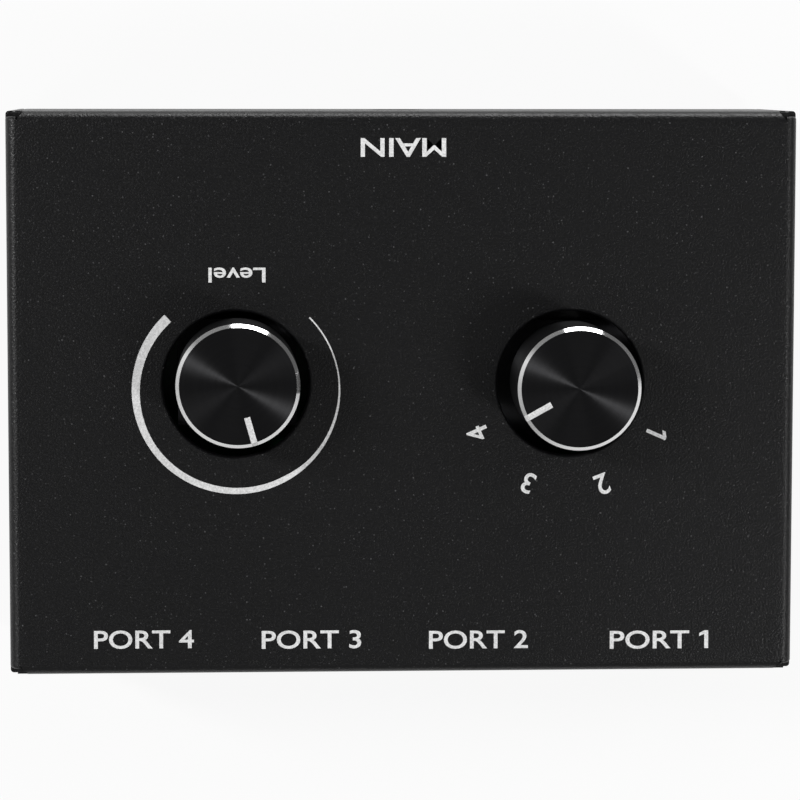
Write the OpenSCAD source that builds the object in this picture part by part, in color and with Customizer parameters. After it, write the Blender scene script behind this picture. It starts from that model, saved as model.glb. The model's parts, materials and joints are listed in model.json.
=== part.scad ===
// Audio source selector: a folded sheet box with a volume knob, a four way selector knob and five jacks.
// The front, with the single jack, faces -Y. The back, with four jacks, faces +Y. Z is zero under the feet.

/* [Case] */
// Width of the case, left to right
case_w = 105.7; // [100:0.1:125]
// Depth of the case, front to back
case_d = 75.6; // [72:0.1:95]
// Height of the cover, without the feet
case_h = 30; // [28.5:0.5:45]
// Thickness of the folded sheet of the cover and of the base plate
sheet_t = 1; // [0.8:0.1:1.4]
// Inside radius of every fold
fold_r = 0.4; // [0.2:0.1:1]
// Width of the relief slot beside each corner fold
relief_w = 0.9; // [0.5:0.1:1.5]
// Gap of the upright seam at each corner
seam_gap = 0.25; // [0.15:0.05:0.5]
// Distance of the side walls' ends behind the faces of the front and back walls
side_set = 0.15; // [0:0.05:0.3]
// Clearance between the base plate and the walls round it
plate_gap = 0.3; // [0.2:0.05:0.6]

/* [Base fixing] */
// Reach of each screw tab, from the outside of the side wall
tab_l = 8; // [7:0.5:10]
// Width of each screw tab
tab_w = 12; // [8:0.5:16]
// Distance of the screw tabs from the middle, along the depth
tab_y = 18; // [14:0.5:21]
// Diameter of the screw threads
screw_d = 2.9; // [2.4:0.1:3.4]
// Radial clearance round each screw in its threaded hole
thread_gap = 0.05; // [0.03:0.01:0.1]
// Radial clearance round each screw in the plate or the board that it holds
screw_gap = 0.3; // [0.2:0.05:0.5]
// Length of each screw under its head
screw_l = 5; // [4:0.5:6]
// Diameter of the screw heads
head_d = 5.5; // [4.5:0.1:6.5]
// Height of the screw heads
head_h = 1.7; // [1.2:0.1:2]
// Width of the screws' hexagon sockets across their flats
socket_af = 2; // [1.5:0.1:2.5]

/* [Feet] */
// Diameter of each rubber foot
foot_d = 10; // [8:0.5:11]
// Height of each rubber foot
foot_h = 2.5; // [2.2:0.1:5]
// Radius of the rounded lower edge of each foot
foot_round = 0.6; // [0.2:0.1:1]
// Distance of each foot's centre from the outside of the case
foot_inset = 8; // [7:0.5:9]

/* [Controls] */
// Distance between the two knob holes
knob_pitch = 44.8; // [40:0.1:50]
// Offset of the knob holes from the middle, along the depth
knob_y = -1.4; // [-3:0.1:3]
// Distance of both knob axes from the middles of their holes, towards -X
knob_aside = 0.2; // [0:0.1:0.5]
// Distance of the volume axis ahead of the middle of its hole
volume_ahead = 0.7; // [0:0.1:1]
// Distance of the selector axis ahead of the middle of its hole
selector_ahead = 0.2; // [0:0.1:1]
// Diameter of the clearance holes in the panel
knob_hole_d = 19.5; // [18:0.1:24]
// Least gap between a knob and the rim of its hole, which widens a hole that is too tight
knob_clear = 0.3; // [0.2:0.1:1]
// Diameter of the knobs
knob_d = 16.3; // [14:0.1:17.4]
// Height of the knobs
knob_h = 13.2; // [11:0.1:18]
// Depth of the knobs' lower edge below the top of the panel
knob_sink = 2; // [0.5:0.1:2.5]
// Width of the bright chamfer round the knobs' top
knob_chamfer = 0.5; // [0.2:0.1:1.2]
// Wall of the knob shells
knob_wall = 1.1; // [0.8:0.1:1.6]
// Thickness of the top of the knob shells
knob_crown = 2; // [1.4:0.1:3]
// Clearance between pieces that are pressed into each other
press_gap = 0.05; // [0.03:0.01:0.1]
// Distance of the knob cores above the knobs' lower edge
core_lift = 0.5; // [0.2:0.1:2]
// Width of the pointer line
pointer_w = 0.8; // [0.5:0.1:1.4]
// Length of the pointer line, in from the rim of the knob
pointer_l = 3.9; // [2:0.1:5]
// Depth of the pointer line
pointer_t = 0.4; // [0.2:0.1:0.8]
// Clearance round the pointer line in its groove
pointer_gap = 0.02; // [0.01:0.01:0.05]
// Direction of the volume pointer at rest, from +X
volume_rest = 106; // [-44:1:224]
// Angle that the volume knob turns through
volume_span = 270; // [240:5:280]
// Direction in the middle of both scales, from +X
scale_angle = 89; // [80:1:100]
// Angle between two positions of the selector
click_step = 40; // [30:1:42]
// Number of positions of the selector
click_count = 4; // [2:1:4]

/* [Shafts and bushes] */
// Diameter of the control shafts
shaft_d = 6; // [5:0.1:6.4]
// Depth of the flat on the shafts
shaft_flat = 1.5; // [0.8:0.1:2]
// Radial running clearance of the shafts
run_gap = 0.04; // [0.02:0.01:0.08]
// Wall of the bushes round the shafts
bush_wall = 1.2; // [0.8:0.1:2]
// Length of the bushes above their brackets
bush_l = 5; // [3:0.5:5.5]
// Thickness of the brackets' sheet
bracket_t = 0.8; // [0.5:0.1:1]
// Width of the brackets' legs
leg_w = 5; // [3:0.5:7]

/* [Circuit board] */
// Thickness of the circuit board
pcb_t = 1.6; // [1:0.1:2]
// Clearance between the circuit board and the screw tabs
pcb_gap = 1.5; // [0.8:0.1:3]
// Height of the standoffs under the circuit board
standoff_h = 5; // [4.5:0.5:6]
// Width of the standoffs across their flats
standoff_af = 5.5; // [5:0.1:7]
// Distance of the standoffs from the edges of the circuit board
standoff_inset = 6; // [5:0.5:8]
// Clearance round the pins in the circuit board
pin_gap = 0.2; // [0.1:0.05:0.4]
// Length of the pins below the circuit board
pin_tail = 1.5; // [0.5:0.1:2]
// Thickness of the contact metal
strip_t = 0.4; // [0.3:0.05:0.5]
// Width of the contact pins
pin_w = 0.8; // [0.5:0.05:1]

/* [Jacks] */
// Distance of the outer jacks on the back wall from the sides of the circuit board
jack_inset = 8.5; // [7:0.5:14]
// Diameter of the jack holes in the walls
jack_hole_d = 8; // [6.8:0.1:10]
// Bore of the jacks, for a 3.5 mm plug
plug_d = 3.6; // [3.5:0.02:3.8]
// Depth that a plug goes in, from the face of the jack
plug_l = 14; // [13:0.5:15]
// Outside diameter of the sleeve bush
nose_d = 6; // [5.4:0.1:6.2]
// Length of the sleeve bush in front of the housing
nose_l = 0.6; // [0.3:0.1:1.5]
// Length of the sleeve bush inside the housing
seat_l = 4; // [3:0.5:4.5]
// Radial clearance round a plug in the jack housing, behind the bush
bore_gap = 0.6; // [0.4:0.05:0.65]
// Gap between the jack's face and the inside of the wall
jack_gap = 0.3; // [0.2:0.05:0.8]
// Side wall of the jack housing, outside the bush and the contacts
jack_wall = 0.75; // [0.5:0.05:1.2]
// Wall of the jack housing above and below the bush
jack_roof = 0.45; // [0.3:0.05:1]
// Wall at the closed end of the jack housing
jack_end = 0.8; // [0.6:0.1:1.5]
// Length of the contact blades
contact_l = 6; // [5:0.1:6.5]
// Height of the contact blades
contact_h = 2.4; // [1.6:0.1:3]
// Radius of the rounded nose on each contact blade
bump_r = 0.6; // [0.5:0.05:0.8]
// Clearance round the contacts, pins and legs in their slots
slot_gap = 0.2; // [0.15:0.05:0.25]
// Clearance between the contacts and a plug in the bore
contact_gap = 0.15; // [0.1:0.05:0.2]

/* [Potentiometer] */
// Wall of the potentiometer housing
pot_wall = 1; // [0.8:0.1:2]
// Height of the potentiometer and switch housings
drive_h = 11; // [10:0.5:11.5]
// Width of the wiper ring on the potentiometer's rotor
wiper_ring_w = 1; // [0.8:0.1:1.6]
// Rim of the potentiometer's rotor outside the wiper ring
rotor_rim = 0.35; // [0.2:0.05:0.6]
// Width of the ledge under the upper wafer
wafer_ledge = 0.5; // [0.3:0.1:1]
// Thickness of the resistive wafers
wafer_t = 0.8; // [0.6:0.1:1]
// Height of the wiper space over each wafer or contact plane
wiper_h = 0.8; // [0.6:0.1:1]
// Thickness of the wiper metal
wiper_t = 0.2; // [0.15:0.05:0.3]
// Running clearance of the rotors and stops
rotor_gap = 0.35; // [0.3:0.05:0.5]
// Thickness of the housing floors
floor_t = 1; // [0.8:0.1:1.3]
// Depth of the stops that end the turn of the rotors
stop_w = 0.75; // [0.6:0.05:0.9]

/* [Rotary switch] */
// Wall of the switch housing outside the spring's pocket
switch_wall = 0.7; // [0.5:0.1:2]
// Radius of the circle of fixed contacts
contact_ring_r = 5.2; // [5.1:0.05:5.4]
// Diameter of each fixed contact
contact_d = 1.6; // [1.2:0.1:1.8]
// Step in from the rotor's disc to the click wheel
click_inset = 0.4; // [0.2:0.1:0.8]
// Width of the slip rings
slip_w = 0.6; // [0.4:0.05:0.7]
// Gap between the slip rings and beside the fixed contacts
slip_gap = 0.3; // [0.2:0.05:0.4]
// Height of the click wheel
click_h = 3; // [2:0.1:3.5]
// Radius of the click spring's nose
nose_r = 0.75; // [0.6:0.05:0.8]
// Thickness of the click spring
spring_t = 0.3; // [0.2:0.05:0.4]
// Length of each end of the click spring inside the housing's wall
spring_hold = 1.6; // [1:0.1:2.5]
// Room behind the click spring for its travel
spring_room = 0.7; // [0.6:0.05:1]

/* [Hidden] */
$fn = 96;
cut = 1;
fold_o = fold_r + sheet_t;
plate_z = foot_h;
plate_top = plate_z + sheet_t;
pcb_z = plate_top + standoff_h;
pcb_top = pcb_z + pcb_t;
panel_z = foot_h + case_h;
knob_z = panel_z - knob_sink;
wall_x = case_w / 2 - sheet_t;
wall_y = case_d / 2 - sheet_t;
jack_face_y = wall_y - jack_gap;
pcb_w = case_w - 2 * (tab_l + pcb_gap);
pcb_d = 2 * (jack_face_y - nose_l);
jack_l = plug_l + jack_end - nose_l;
knob_r = knob_d / 2;
shaft_r = shaft_d / 2;
plug_r = plug_d / 2;
bush_r = shaft_r + run_gap + bush_wall;
thread_r = screw_d / 2 + thread_gap;
pass_r = screw_d / 2 + screw_gap;
tab_x = case_w / 2 - (tab_l + sheet_t) / 2;
shank_wall = 0.6;
shank_r = thread_r + shank_wall;
standoff_x = pcb_w / 2 - standoff_inset;
standoff_front = -pcb_d / 2 + standoff_inset;
standoff_back = pcb_d / 2 - jack_l - standoff_inset;
standoffs_xy = [for (sx = [-1, 1]) for (y = [standoff_front, standoff_back]) [sx * standoff_x, y]];
tabs_xy = [for (sx = [-1, 1]) for (sy = [-1, 1]) [sx * tab_x, sy * tab_y]];
feet_xy = [for (sx = [-1, 1]) for (sy = [-1, 1])
    [sx * (case_w / 2 - foot_inset), sy * (case_d / 2 - foot_inset)]];
volume_xy = [knob_pitch / 2 - knob_aside, knob_y - volume_ahead];
selector_xy = [-knob_pitch / 2 - knob_aside, knob_y - selector_ahead];
knob_off = norm([knob_aside, max(volume_ahead, selector_ahead)]);
knob_hole_r = max(knob_hole_d / 2, knob_r + knob_off + knob_clear);
click_span = click_step * (click_count - 1);
selector_rest = scale_angle - click_span / 2;
pin_hole_d = norm([pin_w, strip_t]) + 2 * pin_gap;

// Jacks 1 to 4 stand along the back wall from right to left as seen from behind, and jack 5 in front.
jack_count = 5;
back_jacks = jack_count - 1;
jack_pitch = (pcb_w - 2 * jack_inset) / (back_jacks - 1);
function jack_x(n) = n == jack_count ? 0 : jack_pitch * (n - (back_jacks + 1) / 2);
function jack_turn(n) = n == jack_count ? 180 : 0;

// Contact metal in a jack, in the jack's own frame: the mouth is at y = 0 and points along +y.
blade_gap = 0.05;
contact_x = plug_r + bore_gap + blade_gap + strip_t / 2;
seat_r = nose_d / 2 + press_gap;
jack_w = 2 * (max(seat_r, contact_x + strip_t / 2 + slot_gap) + jack_wall);
jack_h = 2 * (seat_r + jack_roof);
jack_z = jack_h / 2;
seat_wall = 1.2;
ring_y = -nose_l - seat_l - seat_wall;
tip_y = -plug_l + contact_l;
sleeve_tail_y = -nose_l - seat_l / 2;
ring_pin = [contact_x, ring_y - contact_l / 2];
tip_pin = [-contact_x, tip_y - contact_l / 2];
sleeve_pin = [0, sleeve_tail_y];

// Levels inside the potentiometer and the switch, above the circuit board.
wafer_top = floor_t + wafer_t;
rotor_low = wafer_top + wiper_h;
rotor_high = drive_h - wafer_t - wiper_h;
upper_wafer = drive_h - wafer_t;
shaft_floor = 0.5;
shaft_low = rotor_low + shaft_floor;
track_gap = 0.1;

// Turning stops: a tooth on each rotor meets a rib in its housing with a little play.
tooth_angle = 12;
play_angle = 2;
tooth_root = 0.5;
rib_root = 0.1;

// The potentiometer, from its shaft outwards.
wiper_in = shaft_r + rotor_gap;
wiper_out = wiper_in + wiper_ring_w;
pot_rotor_r = wiper_out + rotor_rim;
pot_r = pot_rotor_r + rotor_gap + stop_w;
pot_w = 2 * (pot_r + wafer_ledge + pot_wall);
pot_rib_angle = (360 - volume_span) / 2 - tooth_angle - play_angle;
pot_pin_x = 3;
pot_pin_y = pot_w / 2 + strip_t / 2;
pot_leg_x = pot_w / 2 + bracket_t / 2;
finger_w = 0.6;
finger_l = 1.8;

// The switch, from its contacts and slip rings outwards.
slip_out = contact_ring_r - contact_d / 2 - slip_gap - slip_w / 2;
slip_r = [slip_out - contact_d / 2 - slip_w, slip_out];
slip_pin_angle = [45, 225];
blade_w = 1;
disc_low = floor_t + strip_t + wiper_h;
disc_high = rotor_high - click_h;
disc_r = contact_ring_r + contact_d / 2;
switch_bore_r = disc_r + rotor_gap + stop_w;
switch_rib_angle = (360 - click_span) / 2 - tooth_angle - play_angle;
click_r = disc_r - click_inset;
notch_gap = 0.12;
notch_r = nose_r + notch_gap;
notch_ring = click_r + nose_r / 4;
spring_y = notch_ring + nose_r;
spring_l = 2 * (sqrt(pow(switch_bore_r, 2) - pow(spring_y, 2)) + spring_hold);
pocket_l = spring_l + 2 * press_gap;
pocket_y = spring_y + spring_t + spring_room;
switch_r = norm([pocket_l / 2, pocket_y]) + switch_wall;
switch_leg_x = switch_r + bracket_t / 2 + press_gap;

// The knobs and their shafts.
core_r = knob_r - knob_wall - press_gap;
core_z = knob_z + core_lift;
core_l = knob_h - knob_crown - core_lift - press_gap;
shaft_cover = 0.5;
shaft_top = core_z + core_l - shaft_cover;
flat_z = (knob_z + core_z) / 2;

function polar(r, a) = [r * cos(a), r * sin(a)];

// A round tool along +y, with its near end at y.
module along_y(r, y, l) {
    translate([0, y, 0]) rotate([-90, 0, 0]) cylinder(r = r, h = l);
}

// A flat sector of a ring, from angle a0 to angle a1.
module ring_sector(inner, outer, a0, a1) {
    steps = ceil((a1 - a0) / 45);
    fan = [for (i = [0 : steps]) polar(2 * outer, a0 + (a1 - a0) * i / steps)];
    intersection() {
        difference() {
            circle(r = outer);
            circle(r = inner);
        }
        polygon(concat([[0, 0]], fan));
    }
}

// An upright rectangle on y = 0 with its two upper corners rounded.
module arch(w, h, r) {
    difference() {
        translate([-w / 2, 0]) square([w, h]);
        for (s = [-1, 1])
            translate([s * (w / 2 - r), h - r]) difference() {
                translate([s < 0 ? -r - cut : 0, 0]) square([r + cut, r + cut]);
                circle(r = r);
            }
    }
}

// The section of a sheet that is folded down at both sides.
module folded_section(w) {
    difference() {
        arch(w, case_h, fold_o);
        translate([0, -cut]) arch(w - 2 * sheet_t, case_h - sheet_t + cut, fold_r);
    }
}

// A tab folded in from the side wall at its lower edge, as a section in x and z with the wall at x = 0.
module tab_section() {
    difference() {
        translate([-tab_l, 0]) square([tab_l, fold_o + cut]);
        translate([-tab_l - cut, sheet_t]) square([tab_l - fold_o + cut, fold_o + cut]);
        translate([-fold_o, fold_o]) circle(r = fold_r);
        translate([-fold_o - fold_r, fold_o]) square([2 * fold_r, 2 * cut]);
        translate([-fold_o, 0]) difference() {
            translate([0, -cut]) square([fold_o + cut, fold_o + cut]);
            translate([0, fold_o]) circle(r = fold_o);
        }
    }
}

module top_cover() {
    top_edge_x = case_w / 2 - fold_o;
    front_w = 2 * (top_edge_x - relief_w);
    wall_w = 2 * (wall_x - seam_gap);
    wall_h = case_h - 2 * fold_o;
    color([0.09, 0.09, 0.1]) translate([0, 0, foot_h]) difference() {
        union() {
            difference() {
                rotate([90, 0, 0]) linear_extrude(case_d - 2 * side_set, center = true) folded_section(case_w);
                for (s = [-1, 1])
                    translate([-top_edge_x, s > 0 ? case_d / 2 - fold_o : -case_d / 2 - cut, -cut])
                        cube([2 * top_edge_x, fold_o + cut, case_h + 2 * cut]);
                for (p = tabs_xy)
                    translate([p[0] > 0 ? wall_x - cut : -case_w / 2 - cut, p[1] - tab_w / 2, -cut])
                        cube([sheet_t + 2 * cut, tab_w, sheet_t + fold_o + cut]);
            }
            rotate([90, 0, 90]) linear_extrude(front_w, center = true) folded_section(case_d);
            for (s = [-1, 1])
                translate([-wall_w / 2, s > 0 ? wall_y : -case_d / 2, 0]) cube([wall_w, sheet_t, wall_h]);
            for (p = tabs_xy)
                translate([sign(p[0]) * case_w / 2, p[1], sheet_t]) mirror([p[0] > 0 ? 0 : 1, 0, 0])
                    rotate([90, 0, 0]) linear_extrude(tab_w, center = true) tab_section();
        }
        for (s = [-1, 1])
            translate([s * knob_pitch / 2, knob_y, case_h - sheet_t - cut])
                cylinder(r = knob_hole_r, h = sheet_t + 2 * cut);
        for (n = [1 : jack_count])
            translate([jack_x(n), 0, pcb_top + jack_z - foot_h]) rotate([0, 0, jack_turn(n)])
                along_y(jack_hole_d / 2, wall_y - cut, sheet_t + 2 * cut);
        for (p = tabs_xy)
            translate([p[0], p[1], 0]) cylinder(r = thread_r, h = 3 * sheet_t);
    }
}

module base_plate() {
    w = 2 * (wall_x - plate_gap);
    d = 2 * (wall_y - plate_gap);
    color([0.12, 0.12, 0.13]) difference() {
        translate([-w / 2, -d / 2, plate_z]) cube([w, d, sheet_t]);
        for (p = tabs_xy)
            translate([p[0], p[1], plate_z - cut]) cylinder(r = pass_r, h = sheet_t + 2 * cut);
        for (p = standoffs_xy)
            translate([p[0], p[1], plate_z - cut]) cylinder(r = shank_r + press_gap, h = sheet_t + 2 * cut);
    }
}

// A pan head screw with a hexagon socket, its head's seat at z = 0 and its thread down along -z.
module pan_screw() {
    dome_r = head_d;
    difference() {
        rotate_extrude() intersection() {
            square([head_d / 2, head_h]);
            translate([0, head_h - dome_r]) circle(r = dome_r);
        }
        translate([0, 0, head_h / 2]) cylinder(d = socket_af / cos(30), h = head_h, $fn = 6);
    }
    translate([0, 0, -screw_l]) cylinder(d = screw_d, h = screw_l);
}

module base_screws() {
    color([0.15, 0.15, 0.16]) for (p = tabs_xy)
        translate([p[0], p[1], plate_z]) rotate([180, 0, 0]) pan_screw();
}

module foot(n) {
    color([0.07, 0.07, 0.07]) translate(feet_xy[n - 1]) rotate_extrude() difference() {
        square([foot_d / 2, foot_h]);
        translate([foot_d / 2 - foot_round, 0]) difference() {
            translate([0, -cut]) square([foot_round + cut, foot_round + cut]);
            translate([0, foot_round]) circle(r = foot_round);
        }
    }
}

module pcb_standoffs() {
    color([0.75, 0.62, 0.3]) for (p = standoffs_xy)
        translate([p[0], p[1], plate_top]) difference() {
            union() {
                cylinder(d = standoff_af / cos(30), h = standoff_h, $fn = 6);
                translate([0, 0, -sheet_t]) cylinder(r = shank_r, h = sheet_t + cut);
            }
            translate([0, 0, -sheet_t - cut]) cylinder(r = thread_r, h = standoff_h + sheet_t + 2 * cut);
        }
}

module pcb_screws() {
    color([0.7, 0.7, 0.72]) for (p = standoffs_xy)
        translate([p[0], p[1], pcb_top]) pan_screw();
}

// Places its children on the axis of a control, with z = 0 on the circuit board.
module at_volume() {
    translate([volume_xy[0], volume_xy[1], pcb_top]) children();
}

module at_selector() {
    translate([selector_xy[0], selector_xy[1], pcb_top]) children();
}

// Places its children at a jack, with the mouth along +y from y = 0 and z = 0 on the circuit board.
module at_jack(n) {
    translate([jack_x(n), 0, pcb_top]) rotate([0, 0, jack_turn(n)]) translate([0, jack_face_y, 0]) children();
}

function switch_contact_a(i) =
    selector_rest + click_step * (i % click_count) + (i < click_count ? 0 : 180);

module pin_hole() {
    translate([0, 0, -pcb_t - cut]) cylinder(d = pin_hole_d, h = pcb_t + 2 * cut);
}

module leg_slot() {
    room = 2 * slot_gap;
    translate([-(bracket_t + room) / 2, -(leg_w + room) / 2, -pcb_t - cut])
        cube([bracket_t + room, leg_w + room, pcb_t + 2 * cut]);
}

module main_pcb() {
    color([0.07, 0.3, 0.16]) difference() {
        translate([-pcb_w / 2, -pcb_d / 2, pcb_z]) cube([pcb_w, pcb_d, pcb_t]);
        for (p = standoffs_xy)
            translate([p[0], p[1], pcb_z - cut]) cylinder(r = pass_r, h = pcb_t + 2 * cut);
        for (n = [1 : jack_count])
            at_jack(n) for (p = [ring_pin, tip_pin, sleeve_pin]) translate(p) pin_hole();
        at_volume() for (sx = [-1, 1]) {
            translate([sx * pot_leg_x, 0, 0]) leg_slot();
            for (i = [-1 : 1]) translate([i * pot_pin_x, sx * pot_pin_y, 0]) pin_hole();
        }
        at_selector() {
            for (sx = [-1, 1]) translate([sx * switch_leg_x, 0, 0]) leg_slot();
            for (i = [0 : 2 * click_count - 1])
                translate(polar(contact_ring_r, switch_contact_a(i))) pin_hole();
            for (k = [0, 1]) translate(polar(slip_r[k], slip_pin_angle[k])) pin_hole();
        }
    }
}

module jack_housing(n) {
    back = -nose_l - jack_l;
    slot_x = plug_r + contact_gap - slot_gap;
    slot_w = contact_x + strip_t / 2 + slot_gap - slot_x;
    slot_l = contact_l + 2 * slot_gap;
    color([0.1, 0.1, 0.1]) at_jack(n) difference() {
        translate([-jack_w / 2, back, 0]) cube([jack_w, jack_l, jack_h]);
        translate([0, 0, jack_z]) along_y(seat_r, -nose_l - seat_l, seat_l + cut);
        translate([0, 0, jack_z]) along_y(plug_r + bore_gap, -plug_l, plug_l);
        translate([slot_x, ring_y - slot_l + slot_gap, -cut]) cube([slot_w, slot_l, jack_h + 2 * cut]);
        translate([-slot_x - slot_w, tip_y - slot_l + slot_gap, -cut])
            cube([slot_w, slot_l, jack_h + 2 * cut]);
        translate([-pin_w / 2 - slot_gap, sleeve_tail_y - strip_t / 2 - slot_gap, -cut])
            cube([pin_w + 2 * slot_gap, strip_t + 2 * slot_gap, jack_z]);
    }
}

module jack_sleeve(n) {
    tail_top = jack_z - (nose_d / 2 + plug_r) / 2;
    color([0.78, 0.78, 0.76]) at_jack(n) {
        translate([0, 0, jack_z]) difference() {
            along_y(nose_d / 2, -nose_l - seat_l, nose_l + seat_l);
            along_y(plug_r, -nose_l - seat_l - cut, nose_l + seat_l + 2 * cut);
        }
        translate([-pin_w / 2, sleeve_tail_y - strip_t / 2, -pcb_t - pin_tail])
            cube([pin_w, strip_t, tail_top + pcb_t + pin_tail]);
    }
}

// A contact blade on the +x side of the bore: y is its front end, bump the distance of its nose from there.
module jack_contact(y, bump) {
    bump_x = plug_r + contact_gap + bump_r;
    translate([contact_x - strip_t / 2, y - contact_l, jack_z - contact_h / 2])
        cube([strip_t, contact_l, contact_h]);
    intersection() {
        translate([bump_x, y - bump, jack_z - contact_h / 2]) cylinder(r = bump_r, h = contact_h);
        translate([0, y - contact_l, 0]) cube([contact_x, contact_l, jack_h]);
    }
    translate([contact_x - strip_t / 2, y - contact_l / 2 - pin_w / 2, -pcb_t - pin_tail])
        cube([strip_t, pin_w, jack_z + pcb_t + pin_tail]);
}

module jack_ring_contact(n) {
    color([0.8, 0.7, 0.45]) at_jack(n) jack_contact(ring_y, contact_l / 2);
}

module jack_tip_contact(n) {
    color([0.8, 0.7, 0.45]) at_jack(n) mirror([1, 0, 0]) jack_contact(tip_y, contact_l - 2 * bump_r);
}

module pot_housing() {
    color([0.16, 0.15, 0.14]) at_volume() {
        difference() {
            translate([-pot_w / 2, -pot_w / 2, 0]) cube([pot_w, pot_w, drive_h]);
            translate([0, 0, floor_t]) cylinder(r = pot_r, h = drive_h);
            translate([0, 0, upper_wafer]) cylinder(r = pot_r + wafer_ledge, h = drive_h);
            for (i = [-1 : 1]) {
                terminal_slot(i, -1, floor_t);
                terminal_slot(i, 1, upper_wafer);
            }
        }
        translate([0, 0, wafer_top]) linear_extrude(upper_wafer - wafer_top)
            stop_rib(pot_rotor_r + rotor_gap, pot_r, pot_rib_angle);
    }
}

// The rib that stops a rotor, across from the middle of the scale and half the given angle to each side.
module stop_rib(inner, outer, half) {
    ring_sector(inner, outer + rib_root, scale_angle + 180 - half, scale_angle + 180 + half);
}

module terminal_slot(i, s, z) {
    room = pin_w + 2 * slot_gap;
    translate([i * pot_pin_x - room / 2, s > 0 ? 0 : -pot_w / 2 - cut, z])
        cube([room, pot_w / 2 + cut, wafer_t]);
}

// A sheet bracket over a control: top plate, two legs down into the circuit board and the shaft's bush.
module bracket(leg_x, d) {
    span = 2 * leg_x + bracket_t;
    difference() {
        union() {
            translate([-span / 2, -d / 2, drive_h]) cube([span, d, bracket_t]);
            for (s = [-1, 1])
                translate([s * leg_x - bracket_t / 2, -leg_w / 2, -pcb_t - pin_tail])
                    cube([bracket_t, leg_w, drive_h + pcb_t + pin_tail + bracket_t]);
            translate([0, 0, drive_h]) cylinder(r = bush_r, h = bracket_t + bush_l);
        }
        translate([0, 0, drive_h - cut]) cylinder(r = shaft_r + run_gap, h = bracket_t + bush_l + 2 * cut);
    }
}

module pot_bracket() {
    color([0.1, 0.1, 0.11]) at_volume() bracket(pot_leg_x, pot_w);
}

module wafer(r, z, hole_r) {
    translate([0, 0, z]) difference() {
        cylinder(r = r, h = wafer_t);
        translate([0, 0, -cut]) cylinder(r = hole_r, h = wafer_t + 2 * cut);
    }
}

module pot_lower_wafer() {
    color([0.45, 0.3, 0.18]) at_volume() wafer(pot_r - press_gap, floor_t, shaft_r / 2);
}

module pot_upper_wafer() {
    color([0.45, 0.3, 0.18]) at_volume()
        wafer(pot_r + wafer_ledge - press_gap, upper_wafer, shaft_r + rotor_gap);
}

// Three pins for each wafer, the lower row in front and the upper row behind.
module pot_terminals() {
    color([0.8, 0.8, 0.78]) at_volume() for (s = [-1, 1]) for (i = [-1 : 1]) {
        z = s < 0 ? floor_t : upper_wafer;
        reach = pot_w / 2 - pot_r - (s < 0 ? 0 : wafer_ledge);
        translate([i * pot_pin_x - pin_w / 2, s * pot_pin_y - strip_t / 2, -pcb_t - pin_tail])
            cube([pin_w, strip_t, z + strip_t + pcb_t + pin_tail]);
        translate([i * pot_pin_x - pin_w / 2, s > 0 ? pot_w / 2 - reach : -pot_w / 2 - strip_t, z])
            cube([pin_w, reach + strip_t, strip_t]);
    }
}

// A disc that turns with the shaft, with a tooth that meets the housing's stop.
module rotor_disc(r, low, high, tooth_a, tooth_r) {
    difference() {
        union() {
            translate([0, 0, low]) cylinder(r = r, h = high - low);
            translate([0, 0, low]) linear_extrude(high - low)
                ring_sector(r - tooth_root, tooth_r, tooth_a - tooth_angle, tooth_a + tooth_angle);
        }
        translate([0, 0, shaft_low]) cylinder(r = shaft_r + press_gap, h = drive_h);
    }
}

module pot_rotor() {
    color([0.85, 0.84, 0.8]) at_volume()
        rotor_disc(pot_rotor_r, rotor_low, rotor_high, volume_rest, pot_r - rotor_gap);
}

// A spring finger in the x and z plane that leans down from a rotor's face at z = 0, w wide and l long.
module finger(w, l, drop) {
    foot = l / 4;
    translate([0, w / 2, 0]) rotate([90, 0, 0]) linear_extrude(w) polygon([
        [0, 0], [foot, 0], [l, -drop], [l + foot, -drop], [l + foot, wiper_t - drop],
        [l - wiper_t, wiper_t - drop], [foot - wiper_t, wiper_t], [0, wiper_t]]);
}

// A ring of wiper metal under a rotor face at z = 0, with two fingers down to its track.
module pot_wiper() {
    translate([0, 0, -wiper_t]) linear_extrude(wiper_t) difference() {
        circle(r = wiper_out);
        circle(r = wiper_in);
    }
    for (a = [0, 180])
        rotate([0, 0, volume_rest + a]) translate([(wiper_in + wiper_out) / 2, 0, -wiper_t])
            rotate([0, 0, 90]) finger(finger_w, finger_l, wiper_h - wiper_t - track_gap);
}

module pot_lower_wiper() {
    color([0.82, 0.72, 0.4]) at_volume() translate([0, 0, rotor_low]) pot_wiper();
}

module pot_upper_wiper() {
    color([0.82, 0.72, 0.4]) at_volume() translate([0, 0, rotor_high]) mirror([0, 0, 1]) pot_wiper();
}

// A control shaft from the rotor up into the knob's core, with a flat that faces away from the pointer.
module shaft(rest) {
    low = pcb_top + shaft_low;
    translate([0, 0, low]) difference() {
        cylinder(r = shaft_r, h = shaft_top - low);
        rotate([0, 0, rest + 180]) translate([shaft_r - shaft_flat, -shaft_r, flat_z - low])
            cube([shaft_flat + cut, shaft_d, shaft_top - flat_z + cut]);
    }
}

module pot_shaft() {
    color([0.72, 0.72, 0.74]) translate(volume_xy) shaft(volume_rest);
}

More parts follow.
